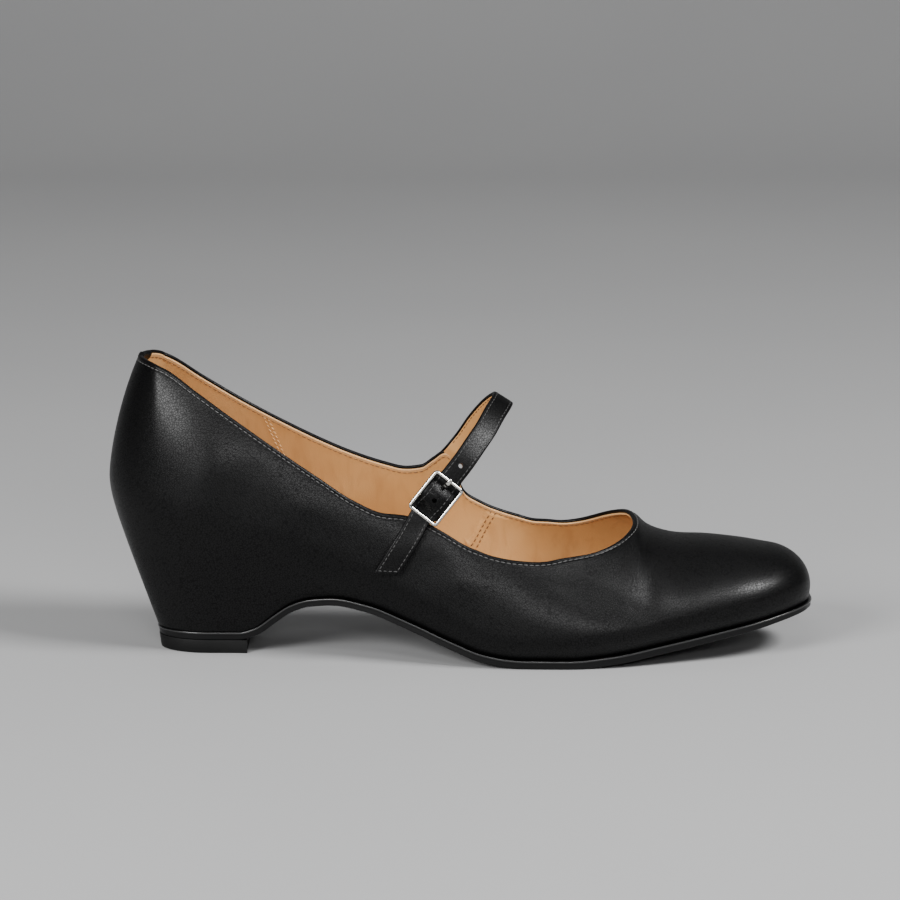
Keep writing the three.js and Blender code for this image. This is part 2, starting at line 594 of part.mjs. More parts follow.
// Place, direction, width and outward direction of the strap at share u of its length
function strapFrame(u, lifted = true) {
  const p = strapCurve.getPointAt(u);
  const t = strapCurve.getTangentAt(u);
  const free = t.clone().cross(LEAN).normalize();
  const blend = THREE.MathUtils.smoothstep(u, AT_BUCKLE, ON_WALL);
  const wall = wallNormal(p.x, p.z);
  const n = free.lerp(wall, blend);
  n.addScaledVector(t, -n.dot(t)).normalize();
  const w = n.clone().cross(t).normalize();
  const s = ((u - AT_BUCKLE) * STRAP_LENGTH) / RISE_REACH;
  if (lifted && Math.abs(s) < 1) p.addScaledVector(n, STRAP_RISE * Math.cos((Math.PI * s) / 2) ** 2);
  return { p, t, w, n };
}
function strapSection(u) {
  const f = strapFrame(u);
  const s = THREE.MathUtils.clamp(((u - AT_BUCKLE) * STRAP_LENGTH) / RISE_REACH, -1, 1);
  const a = STRAP_WIDTH / 2 + STRAP_SWELL * Math.cos((Math.PI * s) / 2) ** 2;
  const b = STRAP / 2;
  const c = STRAP_CORNER;
  const corners = [
    [-a, -b + c],
    [-a + c, -b],
    [a - c, -b],
    [a, -b + c],
    [a, b - c],
    [a - c, b],
    [-a + c, b],
    [-a, b - c],
  ];
  const slant = END_SLANT * THREE.MathUtils.smoothstep(u, 0.93, 1);
  return corners.map(([x, y]) => {
    return f.p.clone().addScaledVector(f.w, x).addScaledVector(f.n, y).addScaledVector(f.t, -x * slant);
  });
}
const strapStations = [];
for (let k = 0; k <= 44; k++) strapStations.push(k / 44);
for (let k = -6; k <= 6; k++) strapStations.push(AT_BUCKLE + k / STRAP_LENGTH);
strapStations.sort((a, b) => a - b);
const strapKept = strapStations.filter((u, i) => i === 0 || u - strapStations[i - 1] > 0.5 / STRAP_LENGTH);
function rod(from, to, radius, sides) {
  const g = new THREE.CylinderGeometry(radius, radius, from.distanceTo(to), sides);
  const turn = new THREE.Quaternion().setFromUnitVectors(
    new THREE.Vector3(0, 1, 0),
    new THREE.Vector3().subVectors(to, from).normalize(),
  );
  g.applyQuaternion(turn);
  g.translate((from.x + to.x) / 2, (from.y + to.y) / 2, (from.z + to.z) / 2);
  return solid(g);
}
let strapSolid = solid(bar(strapKept.map(strapSection)));
for (const k of [0, 1, 2]) {
  const f = strapFrame(AT_BUCKLE + (HOLE_FIRST - k * HOLE_PITCH) / STRAP_LENGTH);
  const a = f.p.clone().addScaledVector(f.n, -2 * STRAP);
  const b = f.p.clone().addScaledVector(f.n, 2 * STRAP);
  strapSolid = strapSolid.subtract(rod(a, b, (k === 1 ? WORN_HOLE : HOLE) / 2, 14));
}
const strap = geometryOf(strapSolid);

// Buckle: a rounded rectangle of wire that dips in the middle to meet the centre bar
const HUB = strapFrame(AT_BUCKLE, false);
const FRAME_UP = STRAP / 2 + GAP + BAR; // frame above the strap's own line at both ends
const PIN_UP = STRAP_RISE - STRAP / 2 - 0.25 - (PIN + PIN_ROOM + TAB); // centre bar under the strap
function inBuckle(along, across, out) {
  const p = HUB.p.clone().addScaledVector(HUB.t, -along);
  return p.addScaledVector(HUB.w, across).addScaledVector(HUB.n, out);
}
const REACH = BUCKLE_LONG / 2 - BAR;
const SPREAD = BUCKLE_WIDE / 2 - BAR;
const RAIL = [0.48, 0.24, 0, -0.24, -0.48]; // points along each side, shares of REACH
function frameLine() {
  const out = [];
  const corner = (cx, cy, from) => {
    for (let k = 0; k <= 4; k++) {
      const a = from + (k * Math.PI) / 8;
      out.push([cx + CORNER * Math.cos(a), cy + CORNER * Math.sin(a)]);
    }
  };
  corner(REACH - CORNER, SPREAD - CORNER, 0);
  for (const k of RAIL) out.push([k * REACH, SPREAD]);
  corner(-REACH + CORNER, SPREAD - CORNER, Math.PI / 2);
  corner(-REACH + CORNER, -SPREAD + CORNER, Math.PI);
  for (const k of RAIL) out.push([-k * REACH, -SPREAD]);
  corner(REACH - CORNER, -SPREAD + CORNER, (3 * Math.PI) / 2);
  const up = (a) => PIN_UP + (FRAME_UP - PIN_UP) * clamp01(Math.abs(a) / REACH) ** 2;
  return out.map(([a, b]) => inBuckle(a, b, up(a)));
}
function loop(line, radius, sides) {
  const count = line.length;
  return hoop(
    line.map((p, k) => {
      const t = line[(k + 1) % count].clone().sub(line[(k + count - 1) % count]).normalize();
      const a = HUB.n.clone().addScaledVector(t, -HUB.n.dot(t)).normalize();
      const b = new THREE.Vector3().crossVectors(t, a);
      const out = [];
      for (let s = 0; s < sides; s++) {
        const q = (2 * Math.PI * (s + 0.5)) / sides;
        out.push(p.clone().addScaledVector(a, radius * Math.cos(q)).addScaledVector(b, radius * Math.sin(q)));
      }
      return out;
    }),
  );
}
const frameRing = solid(loop(frameLine(), BAR, 10));
const pin = rod(inBuckle(0, -SPREAD, PIN_UP), inBuckle(0, SPREAD, PIN_UP), PIN, 12);
const buckleFrame = geometryOf(frameRing.add(pin));

// Prong: a ring on the centre bar, forward under the strap, up through its hole and over the top bar
function tube(radius, thick, width, middle) {
  const a = inBuckle(0, middle - width / 2, PIN_UP);
  const b = inBuckle(0, middle + width / 2, PIN_UP);
  const c = inBuckle(0, middle - width / 2 - 1, PIN_UP);
  const d = inBuckle(0, middle + width / 2 + 1, PIN_UP);
  return rod(a, b, radius + thick, 20).subtract(rod(c, d, radius, 20));
}
function slab(line, width, thick) {
  return solid(
    bar(
      line.map((q, k) => {
        const before = line[Math.max(k - 1, 0)];
        const after = line[Math.min(k + 1, line.length - 1)];
        const da = after[0] - before[0];
        const dn = after[1] - before[1];
        const size = Math.hypot(da, dn);
        const up = [-dn / size, da / size];
        const half = thick / 2;
        const at = (s, v) => inBuckle(q[0] + up[0] * v * half, s * width * 0.5, q[1] + up[1] * v * half);
        return [at(-1, -1), at(-1, 1), at(1, 1), at(1, -1)];
      }),
    ),
  );
}
const RING_OUT = 2 * PIN + PIN_ROOM;
const PRONG_TOP = FRAME_UP + BAR + PRONG_THICK * 0.7;
// The prong comes up through the worn hole, as near to the centre bar as the hole lets it
const PRONG_UP = HOLE_PITCH - HOLE_FIRST - (WORN_HOLE - PRONG_THICK) / 2 + 0.5 * PRONG_THICK;
const BAR_CLEAR = BAR + 0.64 * PRONG_THICK; // from the middle of the top bar to the middle of the prong
// along the strap from the centre bar, and out from the strap's own line
const prongLine = [
  [1.75 * PIN, PIN_UP],
  [PRONG_UP - 2.1 * PRONG_THICK, PIN_UP - 0.8 * PRONG_THICK],
  [PRONG_UP - 0.9 * PRONG_THICK, PIN_UP - 0.95 * PRONG_THICK],
  [PRONG_UP - 0.15 * PRONG_THICK, PIN_UP - 0.35 * PRONG_THICK],
  [PRONG_UP, PIN_UP + 0.55 * PRONG_THICK],
  [PRONG_UP + 0.05 * PRONG_THICK, 0.3 * STRAP],
  [PRONG_UP + 0.1 * PRONG_THICK, STRAP / 2 + 0.8 * PRONG_THICK],
  [REACH - 0.93 * BAR_CLEAR, FRAME_UP + 0.5 * BAR_CLEAR],
  [REACH - 0.6 * BAR_CLEAR, FRAME_UP + 0.95 * BAR_CLEAR],
  [REACH - 0.2 * BAR_CLEAR, PRONG_TOP],
  [REACH + 1.1 * PRONG_THICK, PRONG_TOP],
];
const prongArm = slab(prongLine, PRONG_WIDE, PRONG_THICK);
const prongRing = tube(PIN + PIN_ROOM, RING_OUT - PIN - PIN_ROOM, PRONG_WIDE, 0);
const prong = geometryOf(prongArm.add(prongRing));

// Tab: rises from the outer topline under the strap and loops round the centre bar
const tabMiddle = PIN_UP - PIN - PIN_ROOM - TAB / 2;
function tabFoot() {
  let mm = 0;
  let f = strapFrame(AT_BUCKLE, false);
  while (mm < 20 && f.p.z > read(TOPLINE, "outer", f.p.x / LENGTH) * BACK + TAB) {
    mm += 0.1;
    f = strapFrame(AT_BUCKLE + mm / STRAP_LENGTH, false);
  }
  return mm;
}
const TAB_FOOT = tabFoot();
const tabSections = [];
for (let k = 0; k <= 6; k++) {
  const f = strapFrame(AT_BUCKLE + (TAB_FOOT * (1 - k / 6) - 0.3) / STRAP_LENGTH, false);
  const at = (x, y) => {
    const p = f.p.clone().addScaledVector(f.w, (x * TAB_WIDTH) / 2);
    return p.addScaledVector(f.n, tabMiddle + (y * TAB) / 2);
  };
  tabSections.push([at(-1, -1), at(-1, 1), at(1, 1), at(1, -1)]);
}
const tabArm = solid(bar(tabSections));
const tabLoop = tube(PIN + PIN_ROOM, TAB, TAB_WIDTH, 0);
const notch = slab(
  [
    [-4 * PIN, PIN_UP],
    [5 * PIN, PIN_UP],
  ],
  PRONG_WIDE + 2 * GAP,
  8 * TAB,
);
const hub = rod(inBuckle(0, -SPREAD, PIN_UP), inBuckle(0, SPREAD, PIN_UP), PIN + PIN_ROOM, 20);
const tab = geometryOf(tabArm.add(tabLoop).subtract(notch).subtract(hub));

// Assembly
const shoe = new THREE.Group();
function place(name, geometry, color, roughness, metalness) {
  const material = new THREE.MeshStandardMaterial({ color, roughness, metalness });
  const mesh = new THREE.Mesh(geometry, material);
  mesh.name = name;
  shoe.add(mesh);
}
place("upper", upper, 0x1b1b1d, 0.5, 0);
place("heel", heel, 0xb08a5a, 0.8, 0);
place("outsole", outsole, 0x141414, 0.6, 0);
place("top_piece", topPiece, 0x111111, 0.8, 0);
place("insole", insole, 0xb9824a, 0.6, 0);
place("strap", strap, 0x1b1b1d, 0.5, 0);
place("buckle_frame", buckleFrame, 0xc8c8cc, 0.2, 1);
place("buckle_prong", prong, 0xc8c8cc, 0.2, 1);
place("buckle_tab", tab, 0x1b1b1d, 0.6, 0);

// The part's frame: origin under the middle of its outline, on the floor
const outline = new THREE.Box3().setFromObject(shoe);
const middleOf = outline.getCenter(new THREE.Vector3());
for (const mesh of shoe.children) mesh.geometry.translate(-middleOf.x, -middleOf.y, -outline.min.z);

export default shoe;
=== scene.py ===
import math

import bmesh
import bpy
import numpy as np
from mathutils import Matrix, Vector


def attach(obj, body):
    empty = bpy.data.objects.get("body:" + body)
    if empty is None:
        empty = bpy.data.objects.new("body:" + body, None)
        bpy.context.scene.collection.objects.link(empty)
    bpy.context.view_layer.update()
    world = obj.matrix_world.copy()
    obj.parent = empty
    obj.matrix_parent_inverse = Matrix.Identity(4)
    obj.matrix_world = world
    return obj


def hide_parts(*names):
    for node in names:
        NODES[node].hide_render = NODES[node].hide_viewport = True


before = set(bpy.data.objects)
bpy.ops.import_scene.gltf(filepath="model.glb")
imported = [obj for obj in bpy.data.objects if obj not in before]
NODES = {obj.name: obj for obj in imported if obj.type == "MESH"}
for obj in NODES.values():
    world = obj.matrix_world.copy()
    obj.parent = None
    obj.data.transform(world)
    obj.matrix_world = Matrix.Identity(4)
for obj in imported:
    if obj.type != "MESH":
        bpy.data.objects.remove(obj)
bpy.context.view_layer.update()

# ---------------------------------------------------------------- sizes of the shoe
LENGTH, HALF, BACK, ARCH, TOE_SPRING = 246.0, 40.0, 104.0, 22.0, 17.6
WALL, GAP, SOLE_THICK, OVERHANG, TOP_PIECE, INSOLE = 1.8, 0.3, 3.0, 1.0, 4.6, 1.8
HEEL_ROUND, TOE_ROUND, TOE_SQUARE = 42.0, 30.0, 2.6
HEEL_CURVE, HEEL_LEAN, HEEL_BLUNT, TOE_CURVE = 18.0, 1.2, 1.45, 14.0
THROAT_ROUND, THROAT_MIDDLE, THROAT_OUTER, THROAT_INNER = 31.0, -0.04, 0.695, 0.71
THROAT_FROM, THROAT_TO = 0.62, 0.67
HEEL_BACK, HEEL_FOOT_ROUND, TOE_UNDER, TUCK = 16.3, 18.0, 0.6, 9.5
FAN, TOP_PIECE_FRONT, HEEL_DRAW = 0.4065 * LENGTH, 0.196 * LENGTH, 0.13
STRAP_WIDTH, STRAP, STRAP_RISE, RISE_REACH, END_SLANT = 7.8, 1.6, 1.3, 6.0, 0.62
STRAP_SWELL, HOLE, HOLE_PITCH, HOLE_FIRST = 0.85, 1.7, 7.3, 0.7
BAR, PIN, PIN_ROOM, SIDE_ROOM, BUCKLE_LONG, CORNER = 0.75, 0.6, 0.15, 0.7, 16.6, 0.95
TAB, PRONG_WIDE, PRONG_THICK, PRONG_ROOM = 0.7, 1.3, 0.9, 1.3
WORN_SHIFT = 1.1  # the prong stands this much nearer the centre bar than a new hole would
WORN_HOLE_SHIFT = WORN_SHIFT + 0.25
STRAP_START = -5.0  # the strap begins this far inside the collar's wall
RAIL_SIDE, LEFT_SIDE = 1.7, 1.35  # how much more each edge of the strap swells inside the frame
PILLOW = 0.6  # the strap swells up this much more in the middle of the buckle
RAIL_DIP = 0.3  # the polished rails sag this far toward the centre bar
RAIL, RAIL_OUT = 0.62, 0.3  # half thickness of the frame's polished bars, and how far its rails bow out
ORIGIN = np.array([123.2, -1.8, 0.0])  # the frame's origin, in the shoe's own sizes
FOLD = 0.65  # radius of the folded edge of the collar
STITCH_IN, STITCH_SUNK = 1.75, 0.02  # the collar's stitches, below its edge and into the leather
# A seam of the lining: x at the collar, x at its low end, and how far below the collar it ends.
FRONT_SEAM, BACK_SEAM = (134.5, 126.3, 26.0), (54.2, 60.5, 16.0)
FRONT_SEAM_OUTER = (134.5, 126.3, 24.0)
SEAM_TOP, SEAM_ROWS, SEAM_PROUD = 2.6, (-0.8, 0.8), 0.1


def table(columns, *rows):
    """Named columns of a short table."""
    names = columns.split()
    return {name: np.array([row[k] for row in rows], float) for k, name in enumerate(names)}


LAST = table(
    "at ridge outer inner bulge rise full",
    (0.0, 0.0, 0.74, 0.715, 0.592, 0.572, 1.75),
    (0.12, 0.0, 0.75, 0.725, 0.56, 0.517, 1.75),
    (0.24, 0.012, 0.76, 0.72, 0.48, 0.498, 1.8),
    (0.33, 0.025, 0.77, 0.695, 0.394, 0.471, 1.8),
    (0.41, 0.05, 0.815, 0.695, 0.31, 0.462, 1.8),
    (0.48, 0.083, 0.89, 0.74, 0.212, 0.555, 1.7),
    (0.55, 0.115, 0.96, 0.81, 0.133, 0.535, 1.6),
    (0.61, 0.138, 1.0, 0.88, 0.117, 0.45, 1.55),
    (0.67, 0.15, 1.01, 0.92, 0.123, 0.38, 1.45),
    (0.72, 0.15, 0.99, 0.92, 0.135, 0.327, 1.4),
    (0.75, 0.143, 0.96, 0.9, 0.144, 0.295, 1.38),
    (0.765, 0.139, 0.942, 0.887, 0.149, 0.258, 1.46),
    (0.78, 0.135, 0.92, 0.873, 0.154, 0.235, 1.58),
    (0.81, 0.125, 0.872, 0.838, 0.163, 0.21, 1.68),
    (0.85, 0.103, 0.802, 0.78, 0.177, 0.194, 1.8),
    (0.9, 0.075, 0.71, 0.705, 0.192, 0.168, 2.0),
    (0.95, 0.055, 0.615, 0.63, 0.206, 0.137, 2.15),
    (1.0, 0.038, 0.52, 0.56, 0.215, 0.12, 2.2),
)
SOLE = table(
    "at outer inner heel arch toe thick",
    (0.067, 0.335, 0.33, 1, 0, 0, 0.933),
    (0.12, 0.345, 0.34, 1, 0, 0, 0.933),
    (0.185, 0.35, 0.345, 1, 0, 0, 0.933),
    (0.207, 0.37, 0.358, 0.9, 0.115, 0, 0.9),
    (0.232, 0.405, 0.38, 0.6, 0.437, 0, 0.867),
    (0.257, 0.44, 0.4, 0.3, 0.748, 0, 0.867),
    (0.286, 0.49, 0.423, 0.1, 0.943, 0, 0.867),
    (0.322, 0.54, 0.445, 0, 1.016, 0, 0.867),
    (0.367, 0.605, 0.473, 0, 0.925, 0, 0.867),
    (0.43, 0.69, 0.53, 0, 0.626, 0, 0.9),
    (0.49, 0.775, 0.615, 0, 0.294, 0, 0.933),
    (0.53, 0.823, 0.69, 0, 0.101, 0, 0.967),
    (0.563, 0.85, 0.745, 0, 0.024, 0, 1),
    (0.59, 0.862, 0.775, 0, 0, 0, 1),
    (0.65, 0.872, 0.812, 0, 0, 0, 1),
    (0.714, 0.843, 0.81, 0, 0, 0.098, 1),
    (0.775, 0.775, 0.77, 0, 0, 0.283, 0.967),
    (0.845, 0.675, 0.7, 0, 0, 0.503, 0.933),
    (0.906, 0.585, 0.625, 0, 0, 0.708, 0.867),
    (0.96, 0.508, 0.55, 0, 0, 0.9, 0.767),
    (0.992, 0.475, 0.512, 0, 0, 1, 0.733),
)
TOPLINE = table(
    "at outer inner",
    (0.046, 1.004, 1.004),
    (0.058, 1.001, 1.001),
    (0.083, 0.983, 0.977),
    (0.13, 0.912, 0.897),
    (0.18, 0.83, 0.82),
    (0.24, 0.732, 0.74),
    (0.3, 0.636, 0.671),
    (0.35, 0.559, 0.622),
    (0.39, 0.519, 0.592),
    (0.42, 0.511, 0.577),
    (0.443, 0.498, 0.583),
    (0.46, 0.478, 0.611),
    (0.478, 0.455, 0.639),
    (0.4885, 0.44, 0.619),
    (0.494, 0.432, 0.577),
    (0.499, 0.425, 0.52),
    (0.505, 0.417, 0.488),
    (0.512, 0.409, 0.471),
    (0.52, 0.4015, 0.4595),
    (0.545, 0.3795, 0.428),
    (0.58, 0.364, 0.398),
    (0.61, 0.3575, 0.3795),
    (0.64, 0.36, 0.378),
    (0.675, 0.361, 0.39),
    (0.705, 0.379, 0.414),
    (0.73, 0.4, 0.437),
    (0.746, 0.43, 0.43),
)
SEAT = table(
    "at height",
    (0.0, 0.488),
    (0.08, 0.467),
    (0.16, 0.448),
    (0.24, 0.402),
    (0.33, 0.32),
    (0.41, 0.233),
    (0.48, 0.152),
    (0.54, 0.092),
    (0.58, 0.062),
    (0.61, 0.048),
)
# Middle line of the strap, from its root on the inner side to its free end on the outer side.
# side: share of HALF; "root" and "wall" rows lie on the upper's inner and outer wall.
STRAP_LINE = (
    (0.491, 0.629, "root"),
    (0.507, 0.678, 0.435),
    (0.5245, 0.746, 0.34),
    (0.545, 0.813, 0.18),
    (0.559, 0.847, 0.025),
    (0.557, 0.844, -0.11),
    (0.5475, 0.82, -0.265),
    (0.534, 0.775, -0.425),
    (0.519, 0.731, -0.54),
    (0.5034, 0.684, -0.635),
    (0.4857, 0.634, -0.7),
    (0.4645, 0.5725, -0.748),
    (0.445, 0.5075, "wall"),
    (0.4291, 0.444, "wall"),
    (0.4143, 0.39, "wall"),
    (0.3961, 0.322, "wall"),
)
BUCKLE_ROW = 11
LEAN = np.array([0.84, 0.0, -0.54])
OUTER_SIDE, INNER_SIDE = -1.0, 1.0


# ---------------------------------------------------------------- the last's own functions
def read(rows, name, at):
    """A table's column at a share of the length, without overshooting its rows."""
    xs, ys = rows["at"], rows[name]
    h = np.diff(xs)
    slope = np.diff(ys) / h
    a, b = slope[:-1], slope[1:]
    same = a * b > 0
    a, b = np.where(same, a, 1), np.where(same, b, 1)
    middle = 3 * (h[:-1] + h[1:]) / ((2 * h[1:] + h[:-1]) / a + (h[1:] + 2 * h[:-1]) / b)
    tangent = np.concatenate([slope[:1], np.where(same, middle, 0), slope[-1:]])
    at = np.asarray(at, float)
    i = np.clip(np.searchsorted(xs, at) - 1, 0, len(h) - 1)
    t = np.clip((at - xs[i]) / h[i], 0, 1)
    t2, t3 = t * t, t * t * t
    value = ys[i] * (2 * t3 - 3 * t2 + 1) + ys[i + 1] * (3 * t2 - 2 * t3)
    return value + h[i] * (tangent[i] * (t3 - 2 * t2 + t) + tangent[i + 1] * (t3 - t2))


def rounded(u, n, m=None):
    """A rounded end: 0 at the tip, 1 from one unit inward."""
    return np.clip(1 - np.clip(1 - u, 0, 1) ** n, 0, 1) ** (1 / (m or n))


def smooth(low, high, v):
    """0 below low, 1 above high, with a soft step between."""
    t = np.clip((np.asarray(v, float) - low) / (high - low), 0, 1)
    return t * t * (3 - 2 * t)


def bump_at(v, middle, reach):
    """1 at the middle, falling softly to 0 over about twice the reach."""
    return np.exp(-(((v - middle) / reach) ** 2))


def by_side(rows, x, side):
    """A table's outer or inner column, by the side of the shoe."""
    return np.where(side < 0, read(rows, "outer", x / LENGTH), read(rows, "inner", x / LENGTH))


def ridge(x):
    """How far the last's top line lies toward the inner side."""
    return read(LAST, "ridge", x / LENGTH) * HALF


def bulge(x):
    """Height of the last's widest line."""
    return read(LAST, "bulge", x / LENGTH) * BACK


def half_width(x, side):
    """Distance from the ridge to the widest line on one side."""
    ends = rounded(x / HEEL_ROUND, 2) * rounded((LENGTH - x) / TOE_ROUND, TOE_SQUARE)
    return (by_side(LAST, x, side) * HALF - side * ridge(x)) * ends


def rise(x):
    """How far the last's top stands above its widest line."""
    ends = rounded(x / HEEL_CURVE, HEEL_LEAN, HEEL_BLUNT) * rounded((LENGTH - x) / TOE_CURVE, 2)
    return read(LAST, "rise", x / LENGTH) * BACK * ends


def dome(x, y):
    """Height of the last's surface above a place in plan."""
    w = np.maximum(half_width(x, np.where(y < ridge(x), -1, 1)), 1e-6)
    e = np.clip(np.abs(y - ridge(x)) / w, 0, 1)
    return bulge(x) + rise(x) * (1 - e * e) ** (1 / read(LAST, "full", x / LENGTH))


def side_at(x, z, side):
    """Where the last's surface lies across the shoe, at a height above the widest line."""
    f = np.clip((z - bulge(x)) / np.maximum(rise(x), 1e-6), 0, 1)
    full = read(LAST, "full", x / LENGTH)
    return ridge(x) + side * half_width(x, side) * np.sqrt(np.clip(1 - f**full, 0, 1))


def edge_height(x):
    """Height of the upper's lower edge, over the heel, the arch, the ball and the toe."""
    at = np.asarray(x, float) / LENGTH
    ball = SOLE_THICK + GAP
    heel = TOP_PIECE + SOLE["thick"][0] * SOLE_THICK + 2 * GAP
    up = read(SOLE, "heel", at) * (heel - ball) + read(SOLE, "arch", at) * (ARCH - ball)
    return ball + up + read(SOLE, "toe", at) * (TOE_SPRING - ball)


def edge_side(x, side):
    """Where the upper's lower edge lies across the shoe."""
    back = rounded((x - HEEL_BACK) / HEEL_FOOT_ROUND, 2)
    toe = rounded((LENGTH - TOE_UNDER - x) / (0.93 * TOE_ROUND), TOE_SQUARE)
    middle = ridge(x) * np.clip((x / LENGTH - 0.74) / 0.26, 0, 1)
    return middle + side * (by_side(SOLE, x, side) * HALF - side * middle) * back * toe


TOP_START, TOP_END = TOPLINE["at"][0] * LENGTH, TOPLINE["at"][-1] * LENGTH


def top_x(x):
    """Where a column of the wall meets the collar, along the shoe."""
    t = np.clip((x - FAN) / (LENGTH - FAN), 0, 1)
    first = (LENGTH - FAN) / (TOP_END - FAN)
    s = (t**3 - 2 * t * t + t) * first + 3 * t * t - 2 * t**3 + (t**3 - t * t) * 0.7
    back = x + TOP_START * np.clip(1 - x / (0.285 * LENGTH), 0, 1) ** 2
    return np.where(x < FAN, back, FAN + (TOP_END - FAN) * s)


def foot_x(x):
    """Where a column of the wall meets the sole, along the shoe."""
    return x + HEEL_BACK * np.clip(1 - x / (0.346 * LENGTH), 0, 1) ** 2 - TOE_UNDER * (x / LENGTH) ** 6


def collar_height(x, side):
    return by_side(TOPLINE, x, side) * BACK


def wall_point(x, side, level):
    """A point of the upper's outer face: level 0 is its lower edge, 1 its widest line, 2 its collar."""
    x, side, level = np.broadcast_arrays(np.asarray(x, float), side, level)
    y, z = ridge(x) + side * half_width(x, side), bulge(x)
    fx = foot_x(x)
    depth = z - edge_height(fx)
    down = depth * (1 - np.clip(level, 0, 1))
    turn = lambda d: np.sqrt(d * d + TUCK * TUCK) - TUCK
    k = turn(down) / turn(depth)
    under = np.stack([x + (fx - x) * k, y + (edge_side(fx, side) - y) * k, z - down], -1)
    tx = top_x(x)
    middle = THROAT_MIDDLE * HALF
    half = HALF * np.where(side < 0, THROAT_OUTER, THROAT_INNER) - side * middle
    throat = middle + side * half * rounded((TOP_END - tx) / THROAT_ROUND, 2)
    on_side = np.where(x <= 0, 0, side_at(tx, collar_height(tx, side), side))
    blend = smooth(THROAT_FROM, THROAT_TO, tx / LENGTH)
    ty = on_side + (throat - on_side) * blend
    s = smooth(0, 1, level - 1)
    px, py = x + (tx - x) * s, y + (ty - y) * s
    pz = np.where((x <= 0) & (level >= 2), collar_height(tx, side), dome(px, py))
    over = np.stack([px, py, pz], -1)
    return np.where(level[..., None] <= 1, under, over)


def unit(v):
    return v / np.maximum(np.linalg.norm(v, axis=-1, keepdims=True), 1e-12)


def grid_normals(grid):
    """Normals of rows of closed rings, pointing out of the shoe when the rows run upward."""
    along = np.roll(grid, -1, 1) - np.roll(grid, 1, 1)
    up = np.gradient(grid, axis=0)
    return unit(np.cross(along, up))


# ---------------------------------------------------------------- meshes
def make(name, points, faces, material, smooth_faces=True):
    """A piece from points in the shoe's sizes."""
    mesh = bpy.data.meshes.new(name)
    placed = (np.asarray(points, float).reshape(-1, 3) - ORIGIN) / 1000
    mesh.from_pydata(placed.tolist(), [], [list(map(int, f)) for f in faces])
    mesh.materials.append(material)
    mesh.polygons.foreach_set("use_smooth", [smooth_faces] * len(mesh.polygons))
    mesh.validate()
    mesh.update()
    piece = bpy.data.objects.new(name, mesh)
    bpy.context.scene.collection.objects.link(piece)
    return piece


def band_faces(rows, count, closed=True, start=0):
    """Quads between rows of points, each row a ring when closed."""
    r = np.arange(rows - 1)[:, None]
    j = np.arange(count if closed else count - 1)[None, :]
    k = (j + 1) % count
    a, b = start + r * count + j, start + r * count + k
    return np.stack([a, b, b + count, a + count], -1).reshape(-1, 4).tolist()


def capped(rows, count, start=0):
    """Faces round rows of rings, with one face over each end."""
    ends = [list(range(first, first + count)) for first in (start, start + (rows - 1) * count)]
    return band_faces(rows, count, start=start) + [ends[0][::-1], ends[1]]


def second_material(piece, material, faces):
    """Gives some faces of a piece its second material."""
    piece.data.materials.append(material)
    chosen = [int(k in faces) for k in range(len(piece.data.polygons))]
    piece.data.polygons.foreach_set("material_index", chosen)


def ring_columns(count):
    """Places along the shoe: even along the wall, and close together at the root of the strap."""
    x = LENGTH * (1 - np.cos(np.linspace(0, math.pi, 2001))) / 2
    run = np.zeros_like(x)
    for side in (OUTER_SIDE, INNER_SIDE):
        line = ridge(x) + side * half_width(x, side)
        run[1:] += np.cumsum(np.hypot(np.diff(x), np.diff(line))) / 2
    even = np.interp(np.linspace(0, run[-1], count + 1), run, x)
    root = np.interp(np.arange(0.4425, 0.526, 0.0016) * LENGTH, top_x(x), x)
    kept = even[(even < root[0] - 0.5) | (even > root[-1] + 0.5)]
    return np.sort(np.concatenate([kept, root]))


COLUMN = ring_columns(190)
RING_X = np.concatenate([COLUMN, COLUMN[-2:0:-1]])
RING_SIDE = np.concatenate([np.full(len(COLUMN), OUTER_SIDE), np.full(len(COLUMN) - 2, INNER_SIDE)])
RING = len(RING_X)


def down_from_collar(near, rows):
    """The wall's outer face as rows at fixed distances below the collar, near, then even to the sole."""
    levels = np.concatenate([np.linspace(2, 1, 161), np.linspace(1, 0, 61)[1:]])
    fine = wall_point(RING_X[None, :], RING_SIDE[None, :], levels[:, None])
    run = np.zeros(fine.shape[:2])
    run[1:] = np.cumsum(np.linalg.norm(np.diff(fine, axis=0), axis=-1), axis=0)
    share = np.linspace(0, 1, rows + 1)[1:]
    out = np.empty((len(near) + rows, RING, 3))
    depth = np.empty((len(near) + rows, RING))
    for j in range(RING):
        total = run[-1, j]
        d = np.concatenate([near, near[-1] + (total - near[-1]) * share])
        depth[:, j] = d
        for k in range(3):
            out[:, j, k] = np.interp(d, run[:, j], fine[:, j, k])
    return out, depth


NEAR = np.array([FOLD, 0.9, 1.2, 1.45, 1.75, 2.05, 2.35, 2.8, 3.4, 4.2])
WALL_DOWN, DEPTH = down_from_collar(NEAR, 62)
WALL_UP = WALL_DOWN[::-1]
NORMAL_DOWN = grid_normals(WALL_UP)[::-1]
RIM_UP = unit(WALL_DOWN[0] - WALL_DOWN[3])
RIM_UP = unit(RIM_UP - NORMAL_DOWN[0] * np.sum(RIM_UP * NORMAL_DOWN[0], -1, keepdims=True))


